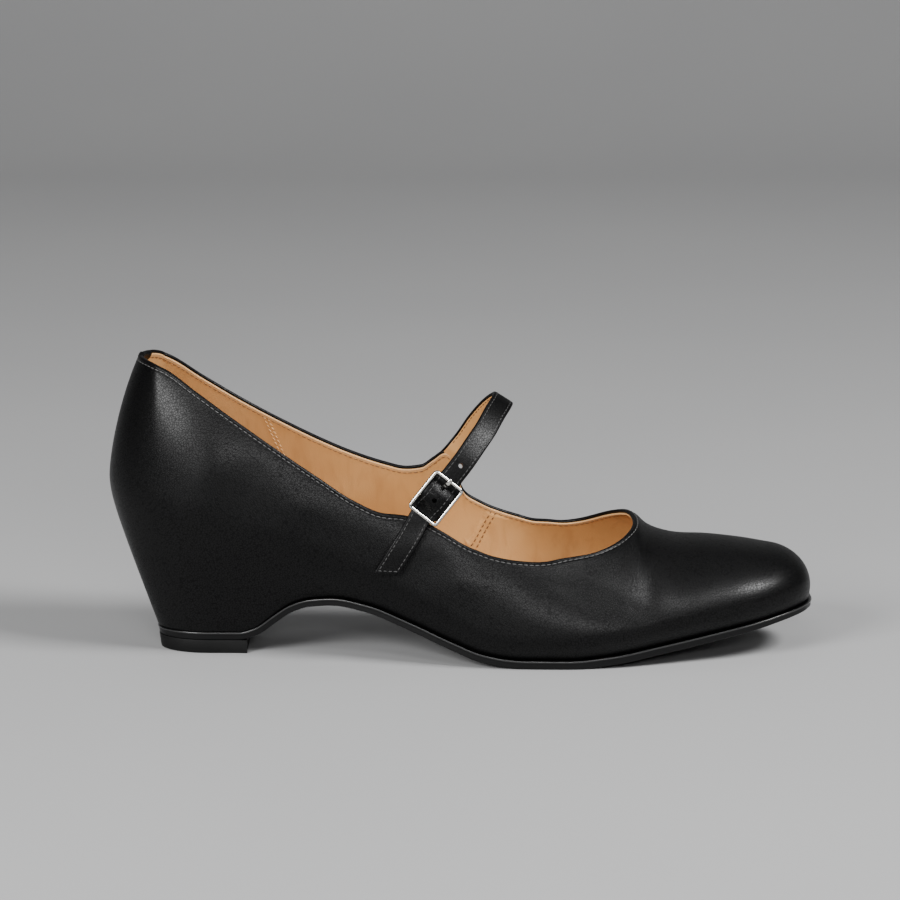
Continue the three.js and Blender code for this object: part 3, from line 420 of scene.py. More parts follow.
def creases(p, side):
    """Soft troughs and ridges left by lasting and by a first wear, listed one by one along the shoe."""
    x, z = p[..., 0], p[..., 2]
    out = np.zeros(x.shape)
    # side, x and z of the middle, half length, half width, tilt in degrees, height
    for s, cx, cz, long, wide, tilt, height in (
        (-1, 34, 64, 17, 5.5, 62, 0.28),
        (-1, 47, 60, 20, 6.0, 58, -0.32),
        (-1, 66, 54, 22, 6.5, 28, 0.26),
        (-1, 60, 36, 16, 6.0, 40, -0.3),
        (-1, 104, 34, 20, 5.5, 22, -0.25),
        (-1, 118, 28, 24, 5.0, 18, 0.22),
        (-1, 163, 27, 15, 3.2, -32, -0.34),
        (-1, 171, 30, 14, 3.4, -30, 0.26),
        (-1, 178, 24, 17, 3.0, -28, -0.22),
        (1, 40, 60, 18, 6.0, 60, -0.3),
        (1, 92, 38, 22, 6.0, 20, -0.28),
        (1, 165, 28, 15, 3.2, -30, -0.32),
        (1, 174, 30, 15, 3.4, -30, 0.24),
    ):
        a = math.radians(tilt)
        u = (x - cx) * math.cos(a) + (z - cz) * math.sin(a)
        v = -(x - cx) * math.sin(a) + (z - cz) * math.cos(a)
        out += np.where(side * s > 0, height * bump_at(u, 0, long) * bump_at(v, 0, wide), 0)
    return out


def shift_rows(points, inward):
    """Moves points of the downward rows along their normals; inward is in millimetres."""
    return points - NORMAL_DOWN * np.asarray(inward)[..., None]


def build_upper(material):
    """The black leather: outer face, edge folded over at the collar, lower edge lasted under."""
    stitch_groove = 0.14 * bump_at(DEPTH, STITCH_IN, 0.42)
    puff = 0.16 * bump_at(DEPTH, 0.85, 0.45) * smooth(FOLD, 0.8, DEPTH)
    away = smooth(4, 14, DEPTH) * smooth(0, 6, DEPTH[-1] - DEPTH)
    face = shift_rows(WALL_DOWN, stitch_groove - puff - creases(WALL_DOWN, RING_SIDE) * away)
    rows = [row for row in face[::-1]]
    under = rows[0] - NORMAL_DOWN[-1] * 0.5
    under[:, 2] = rows[0][:, 2] - GAP + 0.03
    rows.insert(0, under)
    centre = WALL_DOWN[0] - NORMAL_DOWN[0] * FOLD
    for a in np.linspace(0, math.pi, 9)[1:]:
        rows.append(centre + FOLD * (math.cos(a) * NORMAL_DOWN[0] + math.sin(a) * RIM_UP))
    for down in (0.6, 1.4):
        rows.append(centre - FOLD * NORMAL_DOWN[0] - RIM_UP * down)
    faces = band_faces(len(rows), RING)
    return make("upper_leather", np.array(rows), faces, material)


def below_collar(surface, j, down):
    """Points of a surface this far below the collar, at ring places j; both may be arrays."""
    j, down = np.broadcast_arrays(np.asarray(j, float), np.asarray(down, float))
    out = np.empty(j.shape + (3,))
    for n, (place, d) in enumerate(zip(j.ravel() % RING, down.ravel())):
        first = int(place)
        second = (first + 1) % RING
        for k in range(3):
            a = np.interp(d, DEPTH[:, first], surface[:, first, k])
            b = np.interp(d, DEPTH[:, second], surface[:, second, k])
            out.reshape(-1, 3)[n, k] = a + (b - a) * (place - first)
    return out


def lining_point(j, down):
    return below_collar(LINING_FACE, j, down)


def outer_point(j, down):
    return below_collar(WALL_DOWN, j, down)


def row_at(j, down):
    """The row of the wall that lies this far below the collar at ring place j."""
    return min(int(np.searchsorted(DEPTH[:, int(j) % RING], down)), len(DEPTH) - 1)


def lining_relief():
    """Height of the lining's own forms: the turned band at the collar and the lapped seams."""
    band = 0.22 * (1 - smooth(2.0, 2.5, DEPTH)) - 0.12 * bump_at(DEPTH, STITCH_IN, 0.3)
    middle = np.interp(DEPTH, [SEAM_TOP, FRONT_SEAM[2]], FRONT_SEAM[:2])
    x = WALL_DOWN[..., 0]
    lap = 0.45 * smooth(middle - 2.0, middle - 1.7, x) * (1 - smooth(middle + 1.0, middle + 9.0, x))
    return band + lap * smooth(2.5, 3.5, DEPTH) * (1 - smooth(24, 27, DEPTH))


LINING_FACE = WALL_DOWN - NORMAL_DOWN * (WALL - 0.12 + lining_relief())[..., None]


def build_lining(material, edge_material):
    """The tan lining, its top edge just under the folded edge of the leather."""
    rows = [row for row in LINING_FACE[2:][::-1]]
    drop = WALL_DOWN[0] - RIM_UP * 0.3
    for inward, down in ((1.85, 0.12), (1.7, -0.02), (1.5, -0.06), (1.25, 0.0), (1.12, 0.2), (1.1, 1.2)):
        rows.append(drop - NORMAL_DOWN[0] * inward - RIM_UP * down)
    faces = [f[::-1] for f in band_faces(len(rows), RING)]
    piece = make("lining", np.array(rows), faces, material)
    turned_edge = range((len(LINING_FACE) - 2 - 4) * RING, len(faces))
    second_material(piece, edge_material, turned_edge)
    return piece


# ---------------------------------------------------------------- shader maths
class Value:
    """Wraps a socket, so that shader maths is written as an expression."""

    tree = None

    def __init__(self, socket):
        self.socket = socket

    @classmethod
    def node(cls, kind, settings=None, **sockets):
        """Adds a node: its settings first, then the values or links of its sockets."""
        made = cls.tree.nodes.new(kind)
        for name, value in (settings or {}).items():
            setattr(made, name, value)
        for name, value in sockets.items():
            key = int(name[2:]) if name.startswith("in") and name[2:].isdigit() else name.replace("_", " ")
            socket = made.inputs[key]
            if isinstance(value, Value):
                cls.tree.links.new(value.socket, socket)
            else:
                socket.default_value = value
        return made

    @classmethod
    def of(cls, kind, output=0, settings=None, **sockets):
        return cls(cls.node(kind, settings, **sockets).outputs[output])

    def maths(self, operation, *others, flip=False):
        pair = [self, *others]
        if flip:
            pair.reverse()
        sockets = {f"in{k}": v for k, v in enumerate(pair)}
        return Value.of("ShaderNodeMath", 0, {"operation": operation}, **sockets)

    def __add__(self, other):
        return self.maths("ADD", other)

    __radd__ = __add__

    def __mul__(self, other):
        return self.maths("MULTIPLY", other)

    __rmul__ = __mul__

    def __sub__(self, other):
        return self.maths("SUBTRACT", other)

    def __rsub__(self, other):
        return self.maths("SUBTRACT", other, flip=True)

    def ramp(self, low, high):
        """0 below low, 1 above high, smooth between."""
        return Value.of(
            "ShaderNodeMapRange", 0, {"interpolation_type": "SMOOTHSTEP"}, Value=self, From_Min=low, From_Max=high
        )


def mix_colour(share, a, b):
    def colour(v):
        return v if isinstance(v, Value) else (*v, 1)

    return Value.of(
        "ShaderNodeMix", 2, {"data_type": "RGBA"}, in0=share, in6=colour(a), in7=colour(b)
    )


def place_on_piece():
    """Metres in the frame: pieces sit at its origin, unturned."""
    return Value.of("ShaderNodeTexCoord", 3)


def noise(where, scale, detail=3.0, rough=0.55, warp=0.0):
    return Value.of(
        "ShaderNodeTexNoise", 0, None, Vector=where, Scale=scale, Detail=detail, Roughness=rough, Distortion=warp
    )


def cells(where, scale, feature="F1", spread=1.0):
    return Value.of(
        "ShaderNodeTexVoronoi", 0, {"feature": feature}, Vector=where, Scale=scale, Randomness=spread
    )


def bump(height, distance, strength=1.0, under=None):
    sockets = {"Height": height, "Distance": distance, "Strength": strength}
    if under is not None:
        sockets["Normal"] = under
    return Value.of("ShaderNodeBump", 0, None, **sockets)


def stretched(where, scale):
    """The same place with each axis stretched."""
    return Value.of("ShaderNodeMapping", 0, None, Vector=where, Scale=scale)


def new_material(name, build, **fixed):
    """A Principled material; build() returns the sockets that vary, fixed holds plain numbers."""
    material = bpy.data.materials.new(name)
    material.use_nodes = True
    Value.tree = material.node_tree
    shader = next(n for n in material.node_tree.nodes if n.type == "BSDF_PRINCIPLED")
    for key, value in fixed.items():
        shader.inputs[key.replace("_", " ")].default_value = value
    for key, value in build(place_on_piece()).items():
        socket = shader.inputs[key.replace("_", " ")]
        if isinstance(value, Value):
            material.node_tree.links.new(value.socket, socket)
        else:
            socket.default_value = value
    return material


BLACK_DEEP, BLACK_WORN = (0.0012, 0.0012, 0.0013), (0.003, 0.003, 0.003)
# The middle colour below is painted shade, laid along the lining's folds.
TAN, TAN_FOLD_SHADE, TAN_PALE = (0.5, 0.255, 0.088), (0.32, 0.14, 0.042), (0.56, 0.31, 0.125)


def pebbled(where, size, depth, wrinkle=0.0):
    """Fine pebbled grain: rounded cells with creases between them, over a softer unevenness."""
    bent = noise(where, 0.35 / size, 2.0)
    moved = Value.of("ShaderNodeVectorMath", 0, {"operation": "ADD"}, in0=where,
                     in1=Value.of("ShaderNodeCombineXYZ", 0, None, X=bent * (size * 0.6), Y=bent * (size * 0.5)))
    edge = cells(moved, 1 / size, "DISTANCE_TO_EDGE").ramp(0.02, 0.17)
    fine = cells(moved, 2.3 / size, "DISTANCE_TO_EDGE").ramp(0.0, 0.2)
    height = edge * 0.75 + fine * 0.25
    normal = bump(height, depth)
    soft = noise(where, 0.16 / size, 3.0)
    normal = bump(soft, depth * 1.2, 0.5, normal)
    if wrinkle:
        lines = noise(stretched(where, (1.0, 0.55, 0.9)), 0.42 / size, 4.0, 0.6, 1.4)
        normal = bump(lines, wrinkle, 0.9, normal)
    return normal, height


def black_leather(where):
    normal, grain = pebbled(where, 0.00088, 0.00005)
    patches = noise(where, 24, 3)
    rub = noise(where, 160, 4)
    colour = mix_colour(patches.ramp(0.35, 0.8) * 0.5, BLACK_DEEP, BLACK_WORN)
    rough = 0.33 + patches * 0.05 + rub * 0.05 - grain * 0.05
    return {"Base_Color": colour, "Roughness": rough, "Normal": normal, "Coat_Weight": 0.05 + grain * 0.25}


def strap_leather(where):
    normal, grain = pebbled(where, 0.0008, 0.00004, 0.0001)
    rub = noise(where, 300, 4)
    colour = mix_colour(rub.ramp(0.4, 0.85) * 0.5, BLACK_DEEP, BLACK_WORN)
    rough = 0.36 + rub * 0.08
    return {"Base_Color": colour, "Roughness": rough, "Normal": normal, "Coat_Weight": 0.02 + grain * 0.18}


def lining_leather(where):
    pores = cells(where, 2600).ramp(0.0, 0.5)
    long_grain = noise(stretched(where, (1.0, 1.0, 0.35)), 900, 3, 0.6)
    folds = noise(stretched(where, (1.0, 1.0, 0.22)), 210, 4, 0.5, 0.6)
    tone = noise(where, 26, 3)
    colour = mix_colour(tone.ramp(0.3, 0.75), TAN, TAN_PALE)
    # Along the folds the tan turns darker: painted shade in the folds, over the lining's own random tone.
    colour = mix_colour(folds.ramp(0.45, 0.75) * 0.35, colour, TAN_FOLD_SHADE)
    normal = bump(pores * 0.4 + long_grain * 0.6, 0.00008)
    normal = bump(folds, 0.0002, 0.6, normal)
    return {"Base_Color": colour, "Roughness": 0.44 + long_grain * 0.14, "Normal": normal}


def lining_edge(where):
    grain = noise(where, 1400, 3)
    colour = mix_colour(grain, (0.5, 0.27, 0.105), (0.58, 0.34, 0.155))
    return {"Base_Color": colour, "Roughness": 0.45 + grain * 0.1, "Normal": bump(grain, 0.00004)}


def edge_paint(where):
    """The sole: polished black edge, and a finer, duller face underneath."""
    facing = Value.of("ShaderNodeSeparateXYZ", 2, None, Vector=Value.of("ShaderNodeNewGeometry", 1))
    under = (0 - facing).ramp(0.72, 0.95)
    fibre = noise(stretched(where, (0.5, 1.0, 2.5)), 700, 4)
    scuff = noise(where, 90, 5)
    colour = mix_colour(under * scuff.ramp(0.35, 0.8), (0.0015, 0.0015, 0.0016), (0.006, 0.006, 0.006))
    rough = 0.3 + fibre * 0.12 + under * (0.18 + scuff * 0.12)
    return {"Base_Color": colour, "Roughness": rough, "Normal": bump(fibre, 0.00007)}


def heel_rubber(where):
    """The top piece: rubber with a fine cast grain, and small pips underneath."""
    facing = Value.of("ShaderNodeSeparateXYZ", 2, None, Vector=Value.of("ShaderNodeNewGeometry", 1))
    under = (0 - facing).ramp(0.8, 0.97)
    pips = cells(stretched(where, (1.0, 1.0, 0.0)), 420, "F1", 0.0).ramp(0.55, 0.35) * under
    cast = noise(where, 1500, 3)
    colour = mix_colour(noise(where, 60, 4).ramp(0.4, 0.8), (0.002, 0.002, 0.002), (0.006, 0.006, 0.006))
    normal = bump(pips, 0.0004, 1.0, bump(cast, 0.00005))
    return {"Base_Color": colour, "Roughness": 0.5 + cast * 0.14, "Normal": normal}


def polished_metal(where):
    """Plated buckle metal with the hairlines that polishing leaves."""
    hair = noise(stretched(where, (1.0, 3.0, 1.0)), 2600, 3)
    wear = noise(where, 500, 3)
    colour = mix_colour(wear.ramp(0.4, 0.8), (0.6, 0.585, 0.55), (0.48, 0.46, 0.43))
    return {"Base_Color": colour, "Roughness": 0.1 + hair * 0.07 + wear * 0.05, "Normal": bump(hair, 0.000008)}


def moulded_block(where):
    flow = noise(where, 70, 4)
    colour = mix_colour(flow, (0.46, 0.38, 0.27), (0.56, 0.47, 0.34))
    return {"Base_Color": colour, "Roughness": 0.5 + flow * 0.15, "Normal": bump(noise(where, 900, 2), 0.00005)}


def thread(colour_a, colour_b):
    def build(where):
        twist = noise(stretched(where, (1.0, 1.0, 2.0)), 4200, 2)
        return {
            "Base_Color": mix_colour(twist, colour_a, colour_b),
            "Roughness": 0.42 + twist * 0.2,
            "Normal": bump(twist, 0.00006),
        }

    return build


LEATHER = new_material("upper_black_leather", black_leather, Coat_Roughness=0.33, Specular_IOR_Level=0.06)
STRAP_LEATHER = new_material("strap_black_leather", strap_leather, Coat_Roughness=0.3, Specular_IOR_Level=0.06)
LINING = new_material("tan_lining_leather", lining_leather, Specular_IOR_Level=0.4)
LINING_EDGE = new_material("pale_lining_edge", lining_edge, Specular_IOR_Level=0.4)
SOLE_EDGE = new_material("sole_black", edge_paint, Coat_Roughness=0.22, Coat_Weight=0.03, Specular_IOR_Level=0.22)
SOLE_LIP = new_material("sole_edge_bead", edge_paint, Coat_Roughness=0.28, Coat_Weight=0.9, Specular_IOR_Level=0.4)
RUBBER = new_material("heel_rubber", heel_rubber, Specular_IOR_Level=0.2)
METAL = new_material("buckle_metal", polished_metal, Metallic=1.0)
BLOCK = new_material("moulded_heel_block", moulded_block)
BLACK_THREAD = new_material("black_thread", thread((0.03, 0.03, 0.032), (0.09, 0.088, 0.085)))
STRAP_THREAD = new_material("strap_thread", thread((0.016, 0.016, 0.017), (0.05, 0.049, 0.047)))
TAN_THREAD = new_material("tan_thread", thread((0.1, 0.045, 0.016), (0.2, 0.095, 0.035)))
PALE_THREAD = new_material("pale_thread", thread((0.55, 0.3, 0.12), (0.68, 0.42, 0.2)))


# ---------------------------------------------------------------- stitches
def stitch_tree():
    """Geometry nodes: a line of points becomes a row of stitches lying along it."""
    tree = bpy.data.node_groups.new("stitch_row", "GeometryNodeTree")
    kinds = {"Line": "Geometry", "Pitch": "Float", "Length": "Float", "Radius": "Float", "Slant": "Float",
             "Thread": "Material", "Seed": "Int"}
    for name, kind in kinds.items():
        tree.interface.new_socket(name, in_out="INPUT", socket_type="NodeSocket" + kind)
    tree.interface.new_socket("Stitches", in_out="OUTPUT", socket_type="NodeSocketGeometry")
    Value.tree = tree
    group = Value.node("NodeGroupInput")
    given = {name: Value(group.outputs[name]) for name in kinds}
    curve = Value.of("GeometryNodeMeshToCurve", in0=given["Line"])
    points = Value.node("GeometryNodeCurveToPoints", {"mode": "LENGTH"}, Curve=curve, Length=given["Pitch"])
    ball = Value.of("GeometryNodeMeshUVSphere", "Mesh", Segments=8, Rings=6, Radius=1.0)
    size = Value.of("ShaderNodeCombineXYZ", X=given["Radius"], Y=given["Radius"], Z=given["Length"] * 0.5)
    shaped = Value.of("GeometryNodeTransform", Geometry=ball, Scale=size)
    stitch = Value.of("GeometryNodeSetShadeSmooth", Geometry=shaped)
    along = Value.of("FunctionNodeAlignRotationToVector", 0, {"axis": "Z"}, Vector=Value(points.outputs["Tangent"]))
    slant = Value.of("FunctionNodeEulerToRotation", in0=Value.of("ShaderNodeCombineXYZ", X=given["Slant"]))
    turn = Value.of("FunctionNodeRotateRotation", 0, {"rotation_space": "LOCAL"}, in0=along, in1=slant)
    uneven = Value.of("FunctionNodeRandomValue", 0, {"data_type": "FLOAT_VECTOR"},
                      in0=(0.92, 0.92, 0.94), in1=(1.06, 1.06, 1.05), Seed=given["Seed"])
    put = Value.of("GeometryNodeInstanceOnPoints", Points=Value(points.outputs["Points"]), Instance=stitch,
                   Rotation=turn, Scale=uneven)
    real = Value.of("GeometryNodeRealizeInstances", in0=put)
    paint = Value.of("GeometryNodeSetMaterial", Geometry=real, Material=given["Thread"])
    Value.node("NodeGroupOutput", Stitches=paint)
    return tree


STITCH_TREE = stitch_tree()


def stitches(name, lines, thread_material, pitch=2.1, length=1.65, radius=0.2, slant=0.0, seed=1):
    """Rows of stitches along lines given in the shoe's sizes, as one plain mesh."""
    points, edges = [], []
    for line in lines:
        start = len(points)
        points.extend(((np.asarray(line) - ORIGIN) / 1000).tolist())
        edges.extend((start + k, start + k + 1) for k in range(len(line) - 1))
    mesh = bpy.data.meshes.new(name + "_line")
    mesh.from_pydata(points, edges, [])
    holder = bpy.data.objects.new(name + "_line", mesh)
    bpy.context.scene.collection.objects.link(holder)
    modifier = holder.modifiers.new("stitch_row", "NODES")
    modifier.node_group = STITCH_TREE
    values = {
        "Pitch": pitch / 1000,
        "Length": length / 1000,
        "Radius": radius / 1000,
        "Slant": slant,
        "Thread": thread_material,
        "Seed": seed,
    }
    for item in STITCH_TREE.interface.items_tree:
        if item.in_out == "INPUT" and item.name in values:
            modifier[item.identifier] = values[item.name]
    holder.update_tag()
    deps = bpy.context.evaluated_depsgraph_get()
    deps.update()
    made = bpy.data.meshes.new_from_object(holder.evaluated_get(deps))
    made.name = name
    bpy.data.objects.remove(holder)
    piece = bpy.data.objects.new(name, made)
    bpy.context.scene.collection.objects.link(piece)
    return piece


# ---------------------------------------------------------------- soles and heel
def overhang(x, down):
    """How far the sole stands out past the upper, this far below its upper face."""
    heel = 1 - smooth(TOP_PIECE_FRONT, TOP_PIECE_FRONT + 0.1 * LENGTH, x)
    return OVERHANG - (OVERHANG + HEEL_DRAW * down) * heel


def plan_line(down, outward=0.0):
    """The sole's outline this far below its upper face, moved outward."""
    x = foot_x(RING_X)
    y = edge_side(x, RING_SIDE)
    y = np.where(RING_X <= 0, 0, np.where(RING_X >= LENGTH, ridge(RING_X), y))
    line = np.stack([x, y], -1)
    along = unit(np.roll(line, -1, 0) - np.roll(line, 1, 0))
    out = np.stack([along[:, 1], -along[:, 0]], -1)
    return line + out * (overhang(x, down) + outward)[..., None]


def sole_point(xy, down):
    """A point of the sole under a place in plan; down is 0 on its upper face and 1 underneath."""
    x = xy[:, 0]
    slope = edge_height(x + 0.5) - edge_height(x - 0.5)
    size = np.hypot(slope, 1)
    thick = read(SOLE, "thick", x / LENGTH) * SOLE_THICK * down
    z = np.maximum(edge_height(x) - GAP - thick / size, 0)
    return np.stack([x + slope / size * thick, xy[:, 1], z], -1)


def build_outsole(material, lip_material):
    """One strip of sole with its rounded, painted edge."""
    profile = ((-3.2, 0.0), (-0.4, 0.0), (0.0, 0.01), (0.13, 0.05), (0.18, 0.11), (0.13, 0.17), (-0.02, 0.22))
    profile += ((-0.09, 0.5), (-0.09, 0.84), (-0.14, 0.93), (-0.3, 0.98), (-0.7, 1.0))
    rows = [sole_point(plan_line(down * SOLE_THICK, outward), down) for outward, down in profile][::-1]
    faces = band_faces(len(rows), RING)
    under, top = rows[0], rows[-1]
    points = [np.array(rows).reshape(-1, 3)]
    start = len(rows) * RING
    across = 12
    count = len(COLUMN)
    for ring, flip in ((under, False), (top, True)):
        first = start
        grid = []
        for i in range(1, count - 1):
            a, b = ring[i], ring[RING - i]
            t = np.linspace(0, 1, across + 1)[:, None]
            grid.append(a + (b - a) * t)
        points.append(np.array(grid).reshape(-1, 3))
        start += (count - 2) * (across + 1)
        quads = band_faces(count - 2, across + 1, closed=False, start=first)
        tip_back = 0 if not flip else (len(rows) - 1) * RING
        tip_front = tip_back + count - 1
        last = first + (count - 3) * (across + 1)
        for k in range(across):
            quads.append([tip_back, first + k, first + k + 1])
            quads.append([tip_front, last + k + 1, last + k])
        faces += [f if flip else f[::-1] for f in [q[::-1] for q in quads]]
    piece = make("outsole_strip", np.concatenate(points), faces, material)
    second_material(piece, lip_material, range((len(rows) - 7) * RING, (len(rows) - 2) * RING))
    weld(piece, 0.00001)
    return piece


def weld(piece, distance):
    """Joins points that lie on each other and turns the faces outward."""
    b = bmesh.new()
    b.from_mesh(piece.data)
    bmesh.ops.remove_doubles(b, verts=b.verts, dist=distance)
    bmesh.ops.recalc_face_normals(b, faces=b.faces)
    b.to_mesh(piece.data)
    b.free()
    piece.data.update()


def build_top_piece(material):
    """The heel's small rubber sole, straight at the front, its edges just broken."""
    x_cut, top = TOP_PIECE_FRONT, TOP_PIECE + 0.25
    seat = SOLE["thick"][0] * SOLE_THICK + TOP_PIECE + GAP
    keep = [j for j in range(len(COLUMN)) if plan_line(0)[j, 0] < x_cut - 0.01 * LENGTH]
    rows = []
    for inset, z in ((0.4, 0.0), (0.1, 0.1), (0.0, 0.35), (0.0, top - 0.12), (0.04, top - 0.03), (0.15, top)):
        line = plan_line(seat - z)
        wide = [edge_side(np.array(x_cut), s) + s * overhang(x_cut, seat - z) for s in (OUTER_SIDE, INNER_SIDE)]
        front = np.array([[x_cut, wide[0] + (wide[1] - wide[0]) * t] for t in np.linspace(0, 1, 14)])
        inner = line[[(RING - j) % RING for j in keep[1:]]][::-1]
        plan = np.concatenate([line[keep], front, inner])
        middle = np.array([(plan[:, 0].min() + plan[:, 0].max()) / 2, plan[:, 1].mean()])
        rows.append(np.column_stack([plan - unit(plan - middle) * inset, np.full(len(plan), z)]))
    count = len(plan)
    piece = make("heel_top_piece", np.array(rows), capped(len(rows), count), material)
    flat_ends(piece)
    return piece


def flat_ends(piece, angle=0.6):
    """Keeps real corners sharp on a smooth-shaded piece."""
    piece.data.set_sharp_from_angle(angle=angle)


def insole_foot(x):
    seat = np.where(x / LENGTH < SEAT["at"][-1], read(SEAT, "height", x / LENGTH) * BACK, 0)
    return np.maximum(seat - INSOLE, edge_height(x))


def lining_at_height(z, inset):
    """The lining's inner face at the height z of each ring place, moved inward."""
    inner = WALL_UP - NORMAL_DOWN[::-1] * WALL
    out = np.empty((RING, 2))
    for j in range(RING):
        zs = np.maximum.accumulate(inner[:, j, 2])
        out[j] = [np.interp(z[j], zs, inner[:, j, k]) for k in (0, 1)]
    along = unit(np.roll(out, -1, 0) - np.roll(out, 1, 0))
    return out + np.stack([-along[:, 1], along[:, 0]], -1) * inset


def build_insole(material):
    """The padded tan sock over the insole board."""
    plan = lining_at_height(insole_foot(RING_X), 0.45)
    for _ in range(5):
        plan = lining_at_height(insole_foot(plan[:, 0]), 0.45)
    spine = np.stack([plan[:, 0], (plan[:, 1] + plan[(RING - np.arange(RING)) % RING, 1]) / 2], -1)
    rows = []
    for share, lift in ((1.0, 0.0), (1.0, 0.55), (0.985, 0.86), (0.95, 1.0), (0.86, 1.03), (0.7, 1.06),
                        (0.5, 1.07), (0.25, 1.07), (0.0, 1.07)):
        xy = spine + (plan - spine) * share
        tip = smooth(0, 6, np.minimum(plan[:, 0] - plan[:, 0].min(), plan[:, 0].max() - plan[:, 0]))
        xy[:, 0] = plan[:, 0] + (1 - share) * (1 - tip) * np.where(plan[:, 0] < 100, 1.0, -1.0) * 2.0
        rows.append(np.column_stack([xy, insole_foot(xy[:, 0]) + INSOLE * lift - 0.06]))
    faces = band_faces(len(rows), RING)
    piece = make("insole_sock", np.array(rows), faces, material)
    weld(piece, 0.00002)
    return piece


# ---------------------------------------------------------------- strap
def wall_normal(x, z):
    """The outer wall's outward direction."""
    def at(a, b):
        return np.array([a, float(side_at(np.array(a), np.array(b), OUTER_SIDE)), b])

    return unit(np.cross(at(x + 0.5, z) - at(x - 0.5, z), at(x, z + 0.5) - at(x, z - 0.5)))


def strap_knots():
    """The rows of STRAP_LINE as points in the shoe's sizes."""
    out = []
    for at, up, side in STRAP_LINE:
        x, z = at * LENGTH, up * BACK
        if side == "root":
            out.append([x, float(side_at(np.array(x), np.array(z), INNER_SIDE)) - WALL * 0.6, z])
        elif side == "wall":
            y = float(side_at(np.array(x), np.array(z), OUTER_SIDE))
            out.append(np.array([x, y, z]) + wall_normal(x, z) * (GAP + 0.3 + STRAP / 2))
        else:
            out.append([x, side * HALF, z])
    return np.array(out, float)


def centripetal(knots, per=60):
    """Smooth curve through the knots; returns points and the length run at each knot."""
    ends = np.concatenate([[2 * knots[0] - knots[1]], knots, [2 * knots[-1] - knots[-2]]])
    out = []
    for i in range(len(knots) - 1):
        p0, p1, p2, p3 = ends[i : i + 4]
        d0, d1, d2 = (max(np.linalg.norm(b - a) ** 0.5, 1e-6) for a, b in ((p0, p1), (p1, p2), (p2, p3)))
        t1 = ((p1 - p0) / d0 - (p2 - p0) / (d0 + d1) + (p2 - p1) / d1) * d1
        t2 = ((p2 - p1) / d1 - (p3 - p1) / (d1 + d2) + (p3 - p2) / d2) * d1
        t = np.linspace(0, 1, per, endpoint=False)[:, None]
        out.append(p1 + t1 * t + (-3 * p1 + 3 * p2 - 2 * t1 - t2) * t**2 + (2 * p1 - 2 * p2 + t1 + t2) * t**3)
    out.append(knots[-1:])
    line = np.concatenate(out)
    run = np.concatenate([[0], np.cumsum(np.linalg.norm(np.diff(line, axis=0), axis=1))])
    return line, run


STRAP_CURVE, STRAP_RUN = centripetal(strap_knots())
STRAP_LENGTH = STRAP_RUN[-1]
AT_BUCKLE, ON_WALL = STRAP_RUN[BUCKLE_ROW * 60], STRAP_RUN[(BUCKLE_ROW + 1) * 60]


def strap_frame(mm, lifted=True):
    """Place, direction, width and outward direction of the strap, mm along it from its root."""
    def on_curve(s):
        return np.array([np.interp(s, STRAP_RUN, STRAP_CURVE[:, k]) for k in range(3)])

    inside = min(max(mm, 0.4), STRAP_LENGTH - 0.4)
    p = on_curve(inside)
    t = unit(on_curve(inside + 0.4) - on_curve(inside - 0.4))
    p = p + t * (mm - inside)
    if mm < 0:
        p[1] = float(side_at(p[0], p[2], INNER_SIDE)) - WALL * 0.6
    n = unit(np.cross(t, LEAN))
    blend = float(smooth(AT_BUCKLE, ON_WALL, mm))
    n = n + (wall_normal(p[0], p[2]) - n) * blend
    n = unit(n - t * np.dot(n, t))
    w = np.cross(n, t)
    if lifted:
        p = p + n * STRAP_RISE * swell(mm)
    return p, t, w, n


def strap_section(width, low, high, corner, steps=5, crown=0.0):
    """A rounded strip section, (across, out) pairs, running like the part's own."""
    out = []
    half = width / 2
    for cx, cy, start in ((-half + corner, low + corner, 180), (half - corner, low + corner, 270),
                          (half - corner, high - corner, 0), (-half + corner, high - corner, 90)):
        for k in range(steps + 1):
            a = math.radians(start + 90 * k / steps)
            out.append([cx + corner * math.cos(a), cy + corner * math.sin(a)])
    pts = []
    for (a0, b0), (a1, b1) in zip(out, out[1:] + out[:1]):
        pts.append([a0, b0])
        if abs(a1 - a0) > 1:
            for t in (0.2, 0.4, 0.6, 0.8):
                pts.append([a0 + (a1 - a0) * t, b0 + (b1 - b0) * t])
    pts = np.array(pts)
    pts[:, 1] += np.where(pts[:, 1] > 0, crown * (1 - (pts[:, 0] / half) ** 2), 0)
    return pts


def swell(mm):
    """1 over the centre bar of the buckle, falling to 0 at both ends of the strap's lift."""
    s = (mm - AT_BUCKLE) / RISE_REACH
    return math.cos(math.pi * s / 2) ** 2 if abs(s) < 1 else 0.0


def spread_by(mm):
    """How far each edge of the strap moves out where the buckle's rails hold it."""
    return STRAP_SWELL * float(1 - smooth(6.2, 8.8, abs(mm - AT_BUCKLE)))


def slanted(mm):
    """How far the free end leans along the strap, for each mm across it."""
    return END_SLANT * float(smooth(0.93, 1, mm / STRAP_LENGTH))


